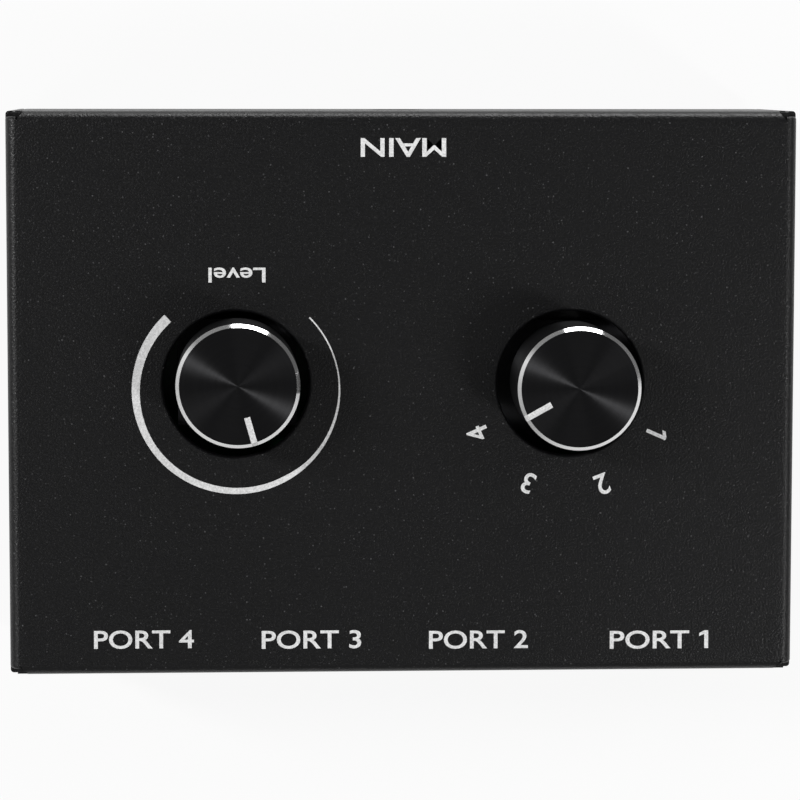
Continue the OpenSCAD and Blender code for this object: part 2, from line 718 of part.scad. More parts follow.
module switch_housing() {
    color([0.16, 0.15, 0.14]) at_selector() {
        difference() {
            cylinder(r = switch_r, h = drive_h);
            translate([0, 0, floor_t]) cylinder(r = switch_bore_r, h = drive_h);
            translate([-pocket_l / 2, -pocket_y, disc_high]) cube([pocket_l, pocket_y - click_r, drive_h]);
            for (i = [0 : 2 * click_count - 1])
                translate(polar(contact_ring_r, switch_contact_a(i))) translate([0, 0, -cut])
                    cylinder(d = pin_w + 2 * press_gap, h = floor_t + 2 * cut);
            for (k = [0, 1])
                translate(polar(slip_r[k], slip_pin_angle[k])) translate([0, 0, -cut])
                    cylinder(d = pin_w + 2 * press_gap, h = floor_t + 2 * cut);
        }
        translate([0, 0, floor_t]) linear_extrude(disc_high - floor_t)
            stop_rib(disc_r + rotor_gap, switch_bore_r, switch_rib_angle);
    }
}

module switch_bracket() {
    color([0.1, 0.1, 0.11]) at_selector() bracket(switch_leg_x, 2 * pocket_y);
}

// A round pin from a contact's face down through the housing and the circuit board.
module switch_pin() {
    translate([0, 0, -pcb_t - pin_tail]) cylinder(d = pin_w, h = floor_t + pcb_t + pin_tail + strip_t);
}

module switch_contacts() {
    color([0.82, 0.82, 0.8]) at_selector() for (i = [0 : 2 * click_count - 1])
        translate(polar(contact_ring_r, switch_contact_a(i))) {
            switch_pin();
            translate([0, 0, floor_t]) cylinder(d = contact_d, h = strip_t);
        }
}

module switch_slip_rings() {
    color([0.82, 0.82, 0.8]) at_selector() for (k = [0, 1]) {
        translate([0, 0, floor_t]) linear_extrude(strip_t) difference() {
            circle(r = slip_r[k] + slip_w / 2);
            circle(r = slip_r[k] - slip_w / 2);
        }
        translate(polar(slip_r[k], slip_pin_angle[k])) switch_pin();
    }
}

// The click wheel has one notch for each position, and the spring's nose stands in the first at rest.
module switch_rotor() {
    color([0.85, 0.84, 0.8]) at_selector() difference() {
        union() {
            rotor_disc(disc_r, disc_low, disc_high, selector_rest, switch_bore_r - rotor_gap);
            translate([0, 0, disc_high]) cylinder(r = click_r, h = click_h);
        }
        translate([0, 0, shaft_low]) cylinder(r = shaft_r + press_gap, h = drive_h);
        for (i = [0 : click_count - 1])
            translate(polar(notch_ring, 270 - i * click_step)) translate([0, 0, disc_high])
                cylinder(r = notch_r, h = click_h + cut);
    }
}

module switch_click_spring() {
    h = click_h - 2 * slot_gap;
    low = disc_high + slot_gap;
    color([0.6, 0.62, 0.65]) at_selector() translate([0, -notch_ring, low]) linear_extrude(h) {
        circle(r = nose_r);
        translate([-nose_r, -nose_r]) square([2 * nose_r, nose_r]);
        translate([-spring_l / 2, -nose_r - spring_t]) square([spring_l, spring_t]);
    }
}

// A blade under the rotor that bridges one slip ring and the fixed contact on the pointer's line.
module switch_wiper(k) {
    half = (contact_ring_r - slip_r[k]) / 2;
    low = -wiper_h + track_gap;
    pad = slip_w / 2;
    crown = wiper_t;
    lap = wiper_t / 2;
    right = [
        [crown, -wiper_t], [half - pad, low], [half + pad, low], [half + pad, low + wiper_t],
        [half - pad + lap, low + wiper_t], [crown + lap, 0]];
    left = [for (i = [len(right) - 1 : -1 : 0]) [-right[i][0], right[i][1]]];
    color([0.82, 0.72, 0.4]) at_selector() rotate([0, 0, selector_rest + 180 * k])
        translate([slip_r[k] + half, blade_w / 2, disc_low]) rotate([90, 0, 0]) linear_extrude(blade_w)
            polygon(concat(right, left));
}

module switch_shaft() {
    color([0.72, 0.72, 0.74]) translate(selector_xy) shaft(selector_rest);
}

// The outside of a knob as a turned solid.
module knob_form() {
    rotate_extrude() polygon([
        [0, 0], [knob_r, 0], [knob_r, knob_h - knob_chamfer], [knob_r - knob_chamfer, knob_h], [0, knob_h]]);
}

module pointer_tool(w, in_r, t) {
    translate([in_r, -w / 2, knob_h - t]) cube([knob_r - in_r + cut, w, t + cut]);
}

module knob(rest) {
    translate([0, 0, knob_z]) rotate([0, 0, rest]) difference() {
        knob_form();
        translate([0, 0, -cut]) cylinder(r = knob_r - knob_wall, h = knob_h - knob_crown + cut);
        pointer_tool(pointer_w + 2 * pointer_gap, knob_r - pointer_l - pointer_gap, pointer_t);
    }
}

module knob_pointer(rest) {
    translate([0, 0, knob_z]) rotate([0, 0, rest]) intersection() {
        knob_form();
        pointer_tool(pointer_w, knob_r - pointer_l, pointer_t);
    }
}

// The plastic core in a knob, with a bore that has the shaft's flat.
module knob_core(rest) {
    translate([0, 0, core_z]) rotate([0, 0, rest]) difference() {
        cylinder(r = core_r, h = core_l);
        difference() {
            translate([0, 0, -cut])
                cylinder(r = shaft_r + press_gap, h = shaft_top - core_z + cut + press_gap);
            translate([-shaft_r - cut, -shaft_d, -2 * cut])
                cube([shaft_flat + cut - press_gap, 2 * shaft_d, core_l + 4 * cut]);
        }
    }
}

module volume_knob() {
    color([0.1, 0.1, 0.11]) translate(volume_xy) knob(volume_rest);
}

module volume_knob_core() {
    color([0.2, 0.2, 0.2]) translate(volume_xy) knob_core(volume_rest);
}

module volume_pointer() {
    color([0.92, 0.92, 0.92]) translate(volume_xy) knob_pointer(volume_rest);
}

module selector_knob() {
    color([0.1, 0.1, 0.11]) translate(selector_xy) knob(selector_rest);
}

module selector_knob_core() {
    color([0.2, 0.2, 0.2]) translate(selector_xy) knob_core(selector_rest);
}

module selector_pointer() {
    color([0.92, 0.92, 0.92]) translate(selector_xy) knob_pointer(selector_rest);
}

top_cover();
base_plate();
base_screws();
foot(1);  // foot_1
foot(2);  // foot_2
foot(3);  // foot_3
foot(4);  // foot_4
pcb_standoffs();
pcb_screws();
main_pcb();
jack_housing(1);  // jack_housing_1
jack_housing(2);  // jack_housing_2
jack_housing(3);  // jack_housing_3
jack_housing(4);  // jack_housing_4
jack_housing(5);  // jack_housing_5
jack_sleeve(1);  // jack_sleeve_1
jack_sleeve(2);  // jack_sleeve_2
jack_sleeve(3);  // jack_sleeve_3
jack_sleeve(4);  // jack_sleeve_4
jack_sleeve(5);  // jack_sleeve_5
jack_ring_contact(1);  // jack_ring_contact_1
jack_ring_contact(2);  // jack_ring_contact_2
jack_ring_contact(3);  // jack_ring_contact_3
jack_ring_contact(4);  // jack_ring_contact_4
jack_ring_contact(5);  // jack_ring_contact_5
jack_tip_contact(1);  // jack_tip_contact_1
jack_tip_contact(2);  // jack_tip_contact_2
jack_tip_contact(3);  // jack_tip_contact_3
jack_tip_contact(4);  // jack_tip_contact_4
jack_tip_contact(5);  // jack_tip_contact_5
pot_housing();
pot_bracket();
pot_lower_wafer();
pot_upper_wafer();
pot_terminals();
pot_rotor();
pot_lower_wiper();
pot_upper_wiper();
pot_shaft();
volume_knob();
volume_knob_core();
volume_pointer();
switch_housing();
switch_bracket();
switch_contacts();
switch_slip_rings();
switch_click_spring();
switch_rotor();
switch_wiper(0);  // switch_wiper_1
switch_wiper(1);  // switch_wiper_2
switch_shaft();
selector_knob();
selector_knob_core();
selector_pointer();
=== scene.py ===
"""Finished looks of the audio source selector, built round its packed model and run as a script."""

import json
import math
from types import SimpleNamespace

import bmesh
import bpy
import numpy as np
from bpy.props import FloatProperty, FloatVectorProperty, PointerProperty, StringProperty
from mathutils import Matrix, Vector


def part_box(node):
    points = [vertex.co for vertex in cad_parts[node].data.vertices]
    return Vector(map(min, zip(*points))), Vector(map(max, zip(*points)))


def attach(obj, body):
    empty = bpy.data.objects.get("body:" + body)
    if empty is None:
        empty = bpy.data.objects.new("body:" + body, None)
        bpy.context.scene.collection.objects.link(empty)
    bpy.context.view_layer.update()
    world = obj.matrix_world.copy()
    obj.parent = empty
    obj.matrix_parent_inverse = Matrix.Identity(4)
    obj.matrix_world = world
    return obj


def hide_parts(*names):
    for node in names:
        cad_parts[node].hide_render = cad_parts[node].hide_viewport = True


bl_info = {
    "name": "Audio source selector",
    "version": (1, 0, 0),
    "blender": (4, 5, 0),
    "location": "View3D > Sidebar > Selector",
    "description": "Builds the cover, knobs, printing and small parts of an audio source selector",
    "category": "Object",
}

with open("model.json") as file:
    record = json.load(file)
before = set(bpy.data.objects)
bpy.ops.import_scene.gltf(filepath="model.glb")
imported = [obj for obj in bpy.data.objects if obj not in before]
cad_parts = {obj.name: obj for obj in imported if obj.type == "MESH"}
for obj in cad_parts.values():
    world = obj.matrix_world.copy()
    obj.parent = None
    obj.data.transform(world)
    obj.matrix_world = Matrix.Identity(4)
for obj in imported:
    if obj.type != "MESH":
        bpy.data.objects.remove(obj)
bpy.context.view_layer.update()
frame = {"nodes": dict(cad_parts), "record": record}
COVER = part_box("top_cover")
LOW, (HALF_W, HALF_D, TOP) = COVER[0].z, COVER[1]
JACKS = {m["name"].rsplit("_", 1)[1]: m for m in frame["record"]["mounts"] if m["kind"] == "bore"}
MM = 0.001
# Width of a narrow flat beside an edge, which keeps the shading of the face next to it even
BAND = 0.02 * MM

# Printing, in millimetres and degrees: middles of the arc, dial and labels; the arc's growth in width along it
ARC_MIDDLE, ARC_ENDS, ARC_STEPS = (22.38, -0.548), (224.9, -46.9), 241
ARC_STATIONS = (0, 0.14, 0.33, 0.39, 0.55, 0.7, 1)
ARC_GROWTH = (0, 0, 0.29, 0.5, 0.62, 0.65, 1)
DIAL_MIDDLE, DIAL_ANGLES = (-22.13, -0.08), (156.0, 111.0, 66.5, 24.3)
BACK_LABELS = ((-34.735, 33.54), (-10.21, 33.35), (12.36, 33.18), (34.875, 33.01))
FRONT_LABEL, LEVEL_WORD = (0.014, -32.97), (22.22, -16.02)
# Letters, in their own units: depth, added weight, and the flag of a 1 from the right of its stem
TYPE_DEPTH, TYPE_WEIGHT = 0.01, 0.012
FLAG = (((-0.118, 0.692), (-0.118, 0.56)), ((-0.28, 0.59), (-0.28, 0.47)))
# Share of the film's thickness that stays open under it, so that the ink isn't in the panel's own plane
FILM_LIFT = 0.02

# Lamps: name, name of the power, place and spread in metres
LAMPS = (
    ("key_lamp", "key", (0.915, -0.37, 0.95), (0.12, 0.6)),
    ("across_lamp", "across", (-0.827, 0.477, 0.985), (0.14, 0.6)),
    ("side_lamp", "fill", (-0.896, -0.517, 0.898), (0.45, 0.45)),
    ("rear_lamp", "rear", (0.827, 0.477, 0.985), (0.45, 0.45)),
    ("front_card", "card", (-0.125, -0.64, 0.14), (0.45, 0.2)),
)
LAMP_AIM = (0, 0, 0.03)
# Tone of the room at the horizon, by the share of a turn from -X over -Y
ROOM_TONES = (
    (0.0, 0.35), (0.03, 0.1), (0.17, 0.12), (0.28, 0.2), (0.38, 0.26), (0.43, 0.8), (0.5, 0.55),
    (0.6, 0.35), (0.8, 0.25), (0.95, 0.35), (1.0, 0.35),
)
FLOOR_RADII = (0.0, 0.2, 0.8, 3.0)


def length(label, text, millimetres):
    """A length property whose default is given in millimetres."""
    return FloatProperty(name=label, description=text, default=millimetres * MM, unit="LENGTH", precision=5, min=0.0)


def tint(label, text, red, *rest):
    """A colour property; one number makes a grey."""
    rgb = (red, *(rest or (red, red)))
    return FloatVectorProperty(name=label, description=text, default=rgb, subtype="COLOR", size=3, min=0.0, max=1.0)


def watts(label, text, power):
    """A lamp's power property."""
    return FloatProperty(name=label, description=text, default=power, subtype="POWER")


class SelectorCover(bpy.types.PropertyGroup):
    """Sizes and colours of the folded cover."""

    sheet: length("Sheet", "Thickness of the folded sheet", 1.0)
    fold: length("Fold", "Inside radius of the folds", 0.4)
    relief: length("Relief", "Width of the slot beside each corner fold", 0.9)
    seam: length("Seam", "Gap of the upright seam at each corner", 0.25)
    side_set: length("Side set", "Step back of the side walls' ends", 0.15)
    knob_hole: length("Knob hole", "Diameter of the holes round the knobs", 19.5)
    knob_pitch: length("Knob hole pitch", "Distance between the two knob holes", 44.8)
    knob_ahead: length("Knob holes ahead", "Distance of the knob holes ahead of the middle", 1.4)
    knob_rim: length("Knob hole rim", "Rounding of the knob holes' upper edge", 0.4)
    end_ease: length("End easing", "Rounding of the outer edge at the side walls' ends", 0.45)
    inner_ease: length("Inner easing", "Rounding of the inner edge at the side walls' ends", 0.13)
    corner_cut: length("Corner cut", "Length cut off the side bends at the corners", 0.7)
    corner_drop: length("Corner drop", "Depth of the corner cut below the side bends", 0.4)
    jack_hole: length("Jack hole", "Diameter of the jack holes", 8.0)
    jack_rim: length("Jack hole rim", "Rounding of the jack holes' outer edge", 0.12)
    tab_reach: length("Tab reach", "Reach of the screw tabs from the wall's outside", 8.0)
    tab_width: length("Tab width", "Width of the screw tabs", 12.0)
    tab_place: length("Tab place", "Distance of the screw tabs from the middle", 18.0)
    tab_hole: length("Tab hole", "Diameter of the holes in the screw tabs", 3.0)
    tab_rim: length("Tab hole rim", "Rounding of the tab holes' upper edge", 0.05)
    coat: tint("Coat", "Colour of the powder coat", 0.0038, 0.0038, 0.0042)
    # The specks are painted glints: bright dots in the coat's colour that stand in for its sparkle of reflected
    # light
    speck: tint("Specks", "Colour of the coat's bright grains", 0.09, 0.09, 0.092)


class SelectorKnobs(bpy.types.PropertyGroup):
    """Sizes and colours of the two turned knobs."""

    chamfer: length("Chamfer", "Width of the bright cut round the top", 0.45)
    wall: length("Wall", "Wall of the knob shell", 1.1)
    crown: length("Crown", "Thickness of the top of the knob shell", 2.0)
    soften: length("Soften", "Rounding of the small edges", 0.06)
    pointer_width: length("Pointer width", "Width of the pointer line", 0.8)
    pointer_length: length("Pointer length", "Length of the pointer line from the rim", 3.9)
    pointer_rise: length("Pointer rise", "Height of the paint over the metal", 0.015)
    turning: length("Turning pitch", "Distance between two turning marks", 0.16)
    anodised: tint("Anodised", "Colour of the black anodised metal", 0.016, 0.016, 0.017)
    bright: tint("Bright cut", "Colour of the bare metal of the chamfer", 0.9)
    paint: tint("Pointer paint", "Colour of the pointer line", 0.76)


class SelectorPrint(bpy.types.PropertyGroup):
    """Places, sizes and colour of the printing on the panel."""

    film: length("Film", "Thickness of the printed ink", 0.02)
    arc_radius: length("Arc radius", "Outer radius of the volume arc", 13.93)
    arc_thin: length("Arc thin end", "Width of the volume arc at its low end", 0.19)
    arc_thick: length("Arc thick end", "Width of the volume arc at its high end", 1.29)
    dial_radius: length("Dial radius", "Radius of the circle of dial numbers", 13.27)
    dial_height: length("Dial height", "Height of the dial numbers", 2.85)
    label_height: length("Label height", "Height of the capitals of the jack labels", 2.5)
    label_width: length("Label width", "Width of a jack label", 13.4)
    front_width: length("Front width", "Width of the label of the front jack", 11.4)
    level_height: length("Level height", "Height of the capital of the volume word", 2.0)
    level_width: length("Level width", "Width of the volume word", 7.6)
    back_text: StringProperty(name="Back text", description="Word before a back jack's number", default="PORT")
    front_text: StringProperty(name="Front text", description="Word at the front jack", default="MAIN")
    level_text: StringProperty(name="Level text", description="Word at the volume arc", default="Level")
    ink: tint("Ink", "Colour of the printed ink", 0.83)


class SelectorSmall(bpy.types.PropertyGroup):
    """Sizes and colours of the small parts and of what is inside."""

    foot_round: length("Foot rounding", "Rounding of the feet's lower edge", 0.6)
    foot_dish: length("Foot dish", "Depth of the hollow under each foot", 0.25)
    head: length("Screw head", "Diameter of the screw heads", 5.5)
    head_height: length("Screw head height", "Height of the screw heads", 1.7)
    thread: length("Screw thread", "Diameter of the screws", 2.9)
    screw_length: length("Screw length", "Length of the screws under their heads", 5.0)
    socket: length("Socket", "Width of the screws' hexagon sockets", 2.0)
    nose: length("Jack nose", "Outside diameter of the jack bushes", 6.0)
    nose_length: length("Jack nose length", "Length of the jack bushes ahead of their housings", 0.6)
    mouth: length("Jack mouth", "Width of the countersunk edge of the jack bores", 0.35)
    pin: length("Pin width", "Width of the jack bushes' solder pins", 0.8)
    strip: length("Pin thickness", "Thickness of the jack bushes' solder pins", 0.4)
    rubber: tint("Rubber", "Colour of the feet", 0.018)
    oxide: tint("Black oxide", "Colour of the base screws", 0.05, 0.05, 0.055)
    zinc: tint("Zinc", "Colour of the plated steel", 0.6, 0.61, 0.63)
    brass: tint("Brass", "Colour of the standoffs", 0.72, 0.52, 0.22)
    board: tint("Board", "Colour of the circuit board", 0.012, 0.1, 0.04)
    plastic: tint("Plastic", "Colour of the moulded black plastic", 0.014)
    nickel: tint("Nickel", "Colour of the plated jack bushes", 0.7, 0.68, 0.64)
    bronze: tint("Bronze", "Colour of the contact metal", 0.7, 0.5, 0.28)
    wafer: tint("Wafer", "Colour of the resistive wafers", 0.22, 0.11, 0.045)
    nylon: tint("Nylon", "Colour of the rotors", 0.7, 0.67, 0.58)
    aluminium: tint("Aluminium", "Colour of the shafts", 0.68, 0.68, 0.7)


class SelectorStage(bpy.types.PropertyGroup):
    """Camera, lamps and floor."""

    eye: FloatVectorProperty(
        name="Eye", description="Place of the camera", default=(0.024511, -0.042344, 0.488281), subtype="XYZ"
    )
    aim: FloatVectorProperty(
        name="Aim", description="Point that the camera looks at", default=(0.000446, 0.000803, 0.0325), subtype="XYZ"
    )
    roll: FloatProperty(name="Roll", description="Turn of the picture", default=0.00394, subtype="ANGLE")
    lens: FloatProperty(name="Lens", description="Focal length in millimetres", default=153.872, min=10.0)
    floor: tint("Floor", "Colour of the floor", 0.86)
    key: watts("Key", "Power of the main lamp", 8.8)
    across: watts("Across", "Power of the lamp across from it", 4.6)
    fill: watts("Fill", "Power of the side lamp in front", 2.8)
    rear: watts("Rear", "Power of the side lamp behind", 1.6)
    card: watts("Card", "Power of the low lamp in front", 2.4)
    zenith: tint("Zenith", "Light of the room overhead", 0.094)


# Surfaces


def quads_of(rows, columns, wrap_rows=False, wrap_columns=False):
    """Corner numbers of the quads of a grid of points, row by row; wrapping joins the last line to the first."""
    i, j = np.mgrid[: rows - (not wrap_rows), : columns - (not wrap_columns)]
    i2, j2 = (i + 1) % rows, (j + 1) % columns
    return np.stack([i * columns + j, i * columns + j2, i2 * columns + j2, i2 * columns + j], -1).reshape(-1, 4)


def revolve(profile, turns=96, squeeze=None):
    """A turned shape: each point of the profile, a radius and a height, goes round the z axis.

    With squeeze, a row's radius is also multiplied by that function of the angle, one row of factors a point.
    The second texture coordinate is the distance along the profile.
    """
    angle = np.linspace(0, 2 * np.pi, turns, endpoint=False)
    radius = np.repeat(profile[:, :1], turns, 1)
    if squeeze is not None:
        radius = radius * squeeze(angle)
    points = np.stack([radius * np.cos(angle), radius * np.sin(angle), np.repeat(profile[:, 1:], turns, 1)], -1)
    along = np.concatenate([[0], np.cumsum(np.hypot(*np.diff(profile, axis=0).T))])
    uv = np.stack(np.broadcast_arrays(angle[None, :] / (2 * np.pi), along[:, None]), -1)
    return points.reshape(-1, 3), quads_of(len(profile), turns, wrap_columns=True), uv.reshape(-1, 2)


def thick_sheet(top, under):
    """A closed sheet between two grids of points of the same shape, with its four edges filled in."""
    rows, columns = top.shape[:2]
    size = rows * columns
    number = np.arange(size).reshape(rows, columns)
    rim = np.concatenate([number[0, :-1], number[:-1, -1], number[-1, :0:-1], number[:0:-1, 0]])
    after = np.roll(rim, -1)
    face = quads_of(rows, columns)
    faces = np.concatenate([face, face[:, ::-1] + size, np.stack([after, rim, rim + size, after + size], -1)])
    points = np.concatenate([top.reshape(-1, 3), under.reshape(-1, 3)])
    return points, faces, points[:, :2]


def carried(line, ends, axis):
    """A line of points, sideways and up, carried straight between two ends along x, axis 0, or y, axis 1."""
    grid = np.empty((2, len(line), 3))
    grid[..., axis], grid[..., 1 - axis], grid[..., 2] = np.array(ends)[:, None], line[:, 0], line[:, 1]
    return grid


def holed_plate(span_a, span_b, hole, radius, thick, rim, turns=160, steps=8):
    """A flat plate in a and b with one round hole, from c = 0 up to its thickness.

    One parameter is the angle round the hole. The other runs along a section: in along the underside, up the
    hole's wall, a quarter circle over its rim, and out along the top to where the ray meets the plate's edge.
    """
    (a0, a1), (b0, b1) = np.subtract(span_a, hole[0]), np.subtract(span_b, hole[1])
    corners = np.arctan2([b0, b0, b1, b1], [a0, a1, a0, a1]) % (2 * np.pi)
    angle = np.unique(np.round(np.concatenate([np.linspace(0, 2 * np.pi, turns, endpoint=False), corners]), 9))
    c, s = np.cos(angle), np.sin(angle)
    with np.errstate(divide="ignore"):
        reach = np.minimum(np.maximum(a0 / c, a1 / c), np.maximum(b0 / s, b1 / s))
    quarter = np.linspace(0, np.pi / 2, steps + 1)
    section = np.concatenate([
        [[radius, 0.0]],
        np.stack([radius + rim * (1 - np.cos(quarter)), thick - rim + rim * np.sin(quarter)], -1),
        [[radius + rim + BAND, thick]],
    ])
    distance = np.concatenate([[reach], np.repeat(section[:, :1], len(angle), 1), [reach]])
    height = np.concatenate([[0.0], section[:, 1], [thick]])[:, None] * np.ones(len(angle))
    points = np.stack([hole[0] + distance * c, hole[1] + distance * s, height], -1)
    faces = quads_of(points.shape[0], len(angle), True, True)
    points = points.reshape(-1, 3)
    return points, faces, points[:, :2]


def placed(shell, origin, a=(1, 0, 0), b=(0, 1, 0), c=(0, 0, 1)):
    """A shell whose own three axes lie along a, b and c from an origin."""
    points, faces, uv = shell
    return np.asarray(origin, float) + points @ np.array([a, b, c], float), faces, uv


def welded(shell):
    """Points that coincide become one; quads that lose a corner turn into triangles, or go."""
    points, faces, uv = shell
    _, first, same = np.unique(np.round(points, 8), axis=0, return_index=True, return_inverse=True)
    number = same.reshape(-1)[faces]
    keep = number != np.roll(number, -1, 1)
    sound = (keep.sum(1) >= 3) & (number[:, 0] != number[:, 2]) & (number[:, 1] != number[:, 3])
    polygons = [n[k].tolist() for n, k in zip(number[sound], keep[sound])]
    return points[first], polygons, uv[faces[sound][keep[sound]]]


def linked(name, data):
    """A new object in the scene."""
    made = bpy.data.objects.new(name, data)
    bpy.context.scene.collection.objects.link(made)
    return made


def read(items, key):
    """Places of a mesh's elements, a row of x, y and z for each."""
    flat = np.empty(len(items) * 3)
    items.foreach_get(key, flat)
    return flat.reshape(-1, 3)


def piece(name, shells, finishes, body, stands_for=(), smooth=30):
    """A finished object from closed shells, riding on a body; bends above the smooth angle are sharp edges."""
    points, polygons, uvs, start = [], [], [], 0
    for shell in shells:
        p, f, uv = welded(shell)
        points.append(p)
        polygons += [[i + start for i in face] for face in f]
        uvs.append(uv)
        start += len(p)
    mesh = bpy.data.meshes.new(name)
    mesh.from_pydata(np.concatenate(points).tolist(), [], polygons)
    places = np.concatenate(uvs).astype(np.float32).reshape(-1)
    mesh.uv_layers.new(name="Surface").data.foreach_set("uv", places)
    for finish in finishes:
        mesh.materials.append(finish)
    work = bmesh.new()
    work.from_mesh(mesh)
    bmesh.ops.recalc_face_normals(work, faces=work.faces)
    work.to_mesh(mesh)
    work.free()
    mesh.shade_smooth()
    mesh.set_sharp_from_angle(angle=math.radians(smooth))
    if mesh.validate():
        raise RuntimeError(f"{name} has faulty faces")
    made = linked(name, mesh)
    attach(made, body)
    if stands_for:
        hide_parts(*stands_for)
    return made


def rounded(corners, radius):
    """A profile whose inner corners are cut by short quarter curves of about the given radius, in four steps."""
    corners = np.asarray(corners, float)
    before, here, after = corners[:-2], corners[1:-1], corners[2:]
    back = np.linalg.norm(before - here, axis=1)[:, None]
    ahead = np.linalg.norm(after - here, axis=1)[:, None]
    cut = np.minimum(radius, np.minimum(back, ahead) * 0.45)
    start, end = here + (before - here) / back * cut, here + (after - here) / ahead * cut
    t = np.linspace(0, 1, 5)[:, None]
    curve = (1 - t) ** 2 * start[:, None] + 2 * t * (1 - t) * here[:, None] + t**2 * end[:, None]
    return np.concatenate([corners[:1], curve.reshape(-1, 2), corners[-1:]])


# Surfaces of the cover


def cover_lines(size):
    """Lines that the cover's faces share: bends, corner slots, walls' upper ends, tab notches, a quarter circle."""
    outer = size.sheet + size.fold
    bend_x, bend_y = HALF_W - outer, HALF_D - outer
    quarter = np.linspace(np.pi / 2, 0, 13)
    return SimpleNamespace(
        outer=outer, bend_x=bend_x, bend_y=bend_y, side_x=bend_x - size.relief, strip_y=bend_y - size.relief,
        wall_top=TOP - 2 * outer, notch=LOW + size.sheet + outer,
        arc=np.stack([np.cos(quarter), np.sin(quarter)], -1),
    )


def knob_panel(size, at):
    """Two plates that meet in the middle, each with a knob hole."""
    for side in (-1, 1):
        hole = (side * size.knob_pitch / 2, -size.knob_ahead)
        span = sorted((0.0, side * at.side_x))
        plate = holed_plate(span, (-at.strip_y, at.strip_y), hole, size.knob_hole / 2, size.sheet, size.knob_rim)
        yield placed(plate, (0, 0, TOP - size.sheet))


def side_walls(size, at):
    """A section, panel strip, quarter circle and wall, is carried along y.

    Near both ends a quarter circle eases the section in, and the bend stops short of the wall, which leaves a
    ledge. The wall's foot steps up where a screw tab turns in.
    """
    edges = [s * size.tab_place + e * size.tab_width / 2 for s in (-1, 1) for e in (-1, 1)]
    swing = np.linspace(0, np.pi / 2, 6)
    ease, inset = (np.append(size.end_ease * (1 - wave(swing)), 0) for wave in (np.sin, np.cos))
    wall_end, bend_end = HALF_D - inset, HALF_D - size.corner_cut - inset
    wall_end[-1] = bend_end[-1] = bend_end[-2]
    middle = np.concatenate([[-at.bend_y] * 2, np.repeat(edges, 2), [at.bend_y] * 2])
    wall_line, bend_line = (
        np.concatenate([-line, middle, line[::-1] - size.side_set]) for line in (wall_end, bend_end)
    )
    eased = np.concatenate([ease, 0 * middle, ease[::-1]])
    end = [at.bend_x] * (len(ease) + 1)
    start = np.array(end + [at.side_x] * (len(middle) - 2) + end)
    plain, tab = [LOW] * (len(ease) + 3), [at.notch] * 2
    foot = np.array(plain + tab + [LOW] * 2 + tab + plain)
    shelf, step = (np.full(len(foot), z) for z in (TOP - at.outer - size.corner_drop, at.notch))

    def face(inward, bend, back):
        grid = np.empty((len(foot), len(at.arc) + 5, 3))
        grid[:, :-3, 1], grid[:, -3:, 1] = bend_line[:, None], wall_line[:, None]
        grid[:, 0, 0], grid[:, 0, 2] = start, TOP - inward - back
        grid[:, 1:-4, 0] = at.bend_x + (bend - back)[:, None] * at.arc[:, 0]
        grid[:, 1:-4, 2] = TOP - at.outer + (bend - back)[:, None] * at.arc[:, 1]
        grid[:, -4:, 0] = (HALF_W - inward - back)[:, None]
        grid[:, -4:, 2] = np.stack([shelf, shelf, step, foot], -1)
        return grid

    outside = face(0, at.outer, eased)
    inside = face(size.sheet, size.fold, -eased * size.inner_ease / size.end_ease)
    for side in (-1, 1):
        yield thick_sheet(outside * (side, 1, 1), inside * (side, 1, 1))


def corner_webs(size, at):
    """A flat cheek behind each corner slot, and a web over the bend whose edge runs slanting across the slot."""
    back = HALF_D - size.side_set
    upright = np.array([(back, at.wall_top), (back, TOP - at.outer / 2)])
    cheek = carried(upright, (at.side_x, HALF_W - size.sheet), 0)
    turn = np.linspace(np.pi / 2, np.pi / 5, 7)
    web = np.empty((2, 2, len(turn), 3))
    bend = np.array([at.outer, size.fold])[:, None, None]
    web[..., 0] = at.side_x + size.relief * np.stack([0 * turn, np.linspace(1, 0, len(turn))])
    web[..., 1] = at.bend_y + bend * np.cos(turn)
    web[..., 2] = TOP - at.outer + bend * np.sin(turn)
    for way in ((1, 1, 1), (1, -1, 1), (-1, 1, 1), (-1, -1, 1)):
        yield thick_sheet(cheek * way, (cheek - (0, size.sheet, 0)) * way)
        yield thick_sheet(*web * way)


def end_bends(size, at):
    """Front and back: a panel strip, a quarter circle and the wall's upper part, carried along x."""
    lines = []
    for inward, bend in ((0, at.outer), (size.sheet, size.fold)):
        strip, curve, wall = (at.strip_y, TOP - inward), bend * at.arc, (HALF_D - inward, at.wall_top)
        lines.append(np.concatenate([[strip], (at.bend_y, TOP - at.outer) + curve, [wall]]))
    for side in (-1, 1):
        yield thick_sheet(*(carried(line * (side, 1), (-at.side_x, at.side_x), 0) for line in lines))


def jack_walls(size, at):
    """Front and back walls below the bends: one plate with a round hole for each jack."""
    reach, height = HALF_W - size.sheet - size.seam, JACKS["1"]["pos_m"][2]
    for side in (-1, 1):
        row = sorted(m["pos_m"][0] for m in JACKS.values() if m["axis"][1] * side > 0)
        cuts = np.concatenate([[-reach], (np.array(row[:-1]) + row[1:]) / 2, [reach]])
        for x, *span in zip(row, cuts[:-1], cuts[1:]):
            plate = holed_plate(
                span, (LOW, at.wall_top), (x, height), size.jack_hole / 2, size.sheet, size.jack_rim, 96, 4
            )
            yield placed(plate, (0, side * (HALF_D - size.sheet), 0), (1, 0, 0), (0, 0, 1), (0, side, 0))


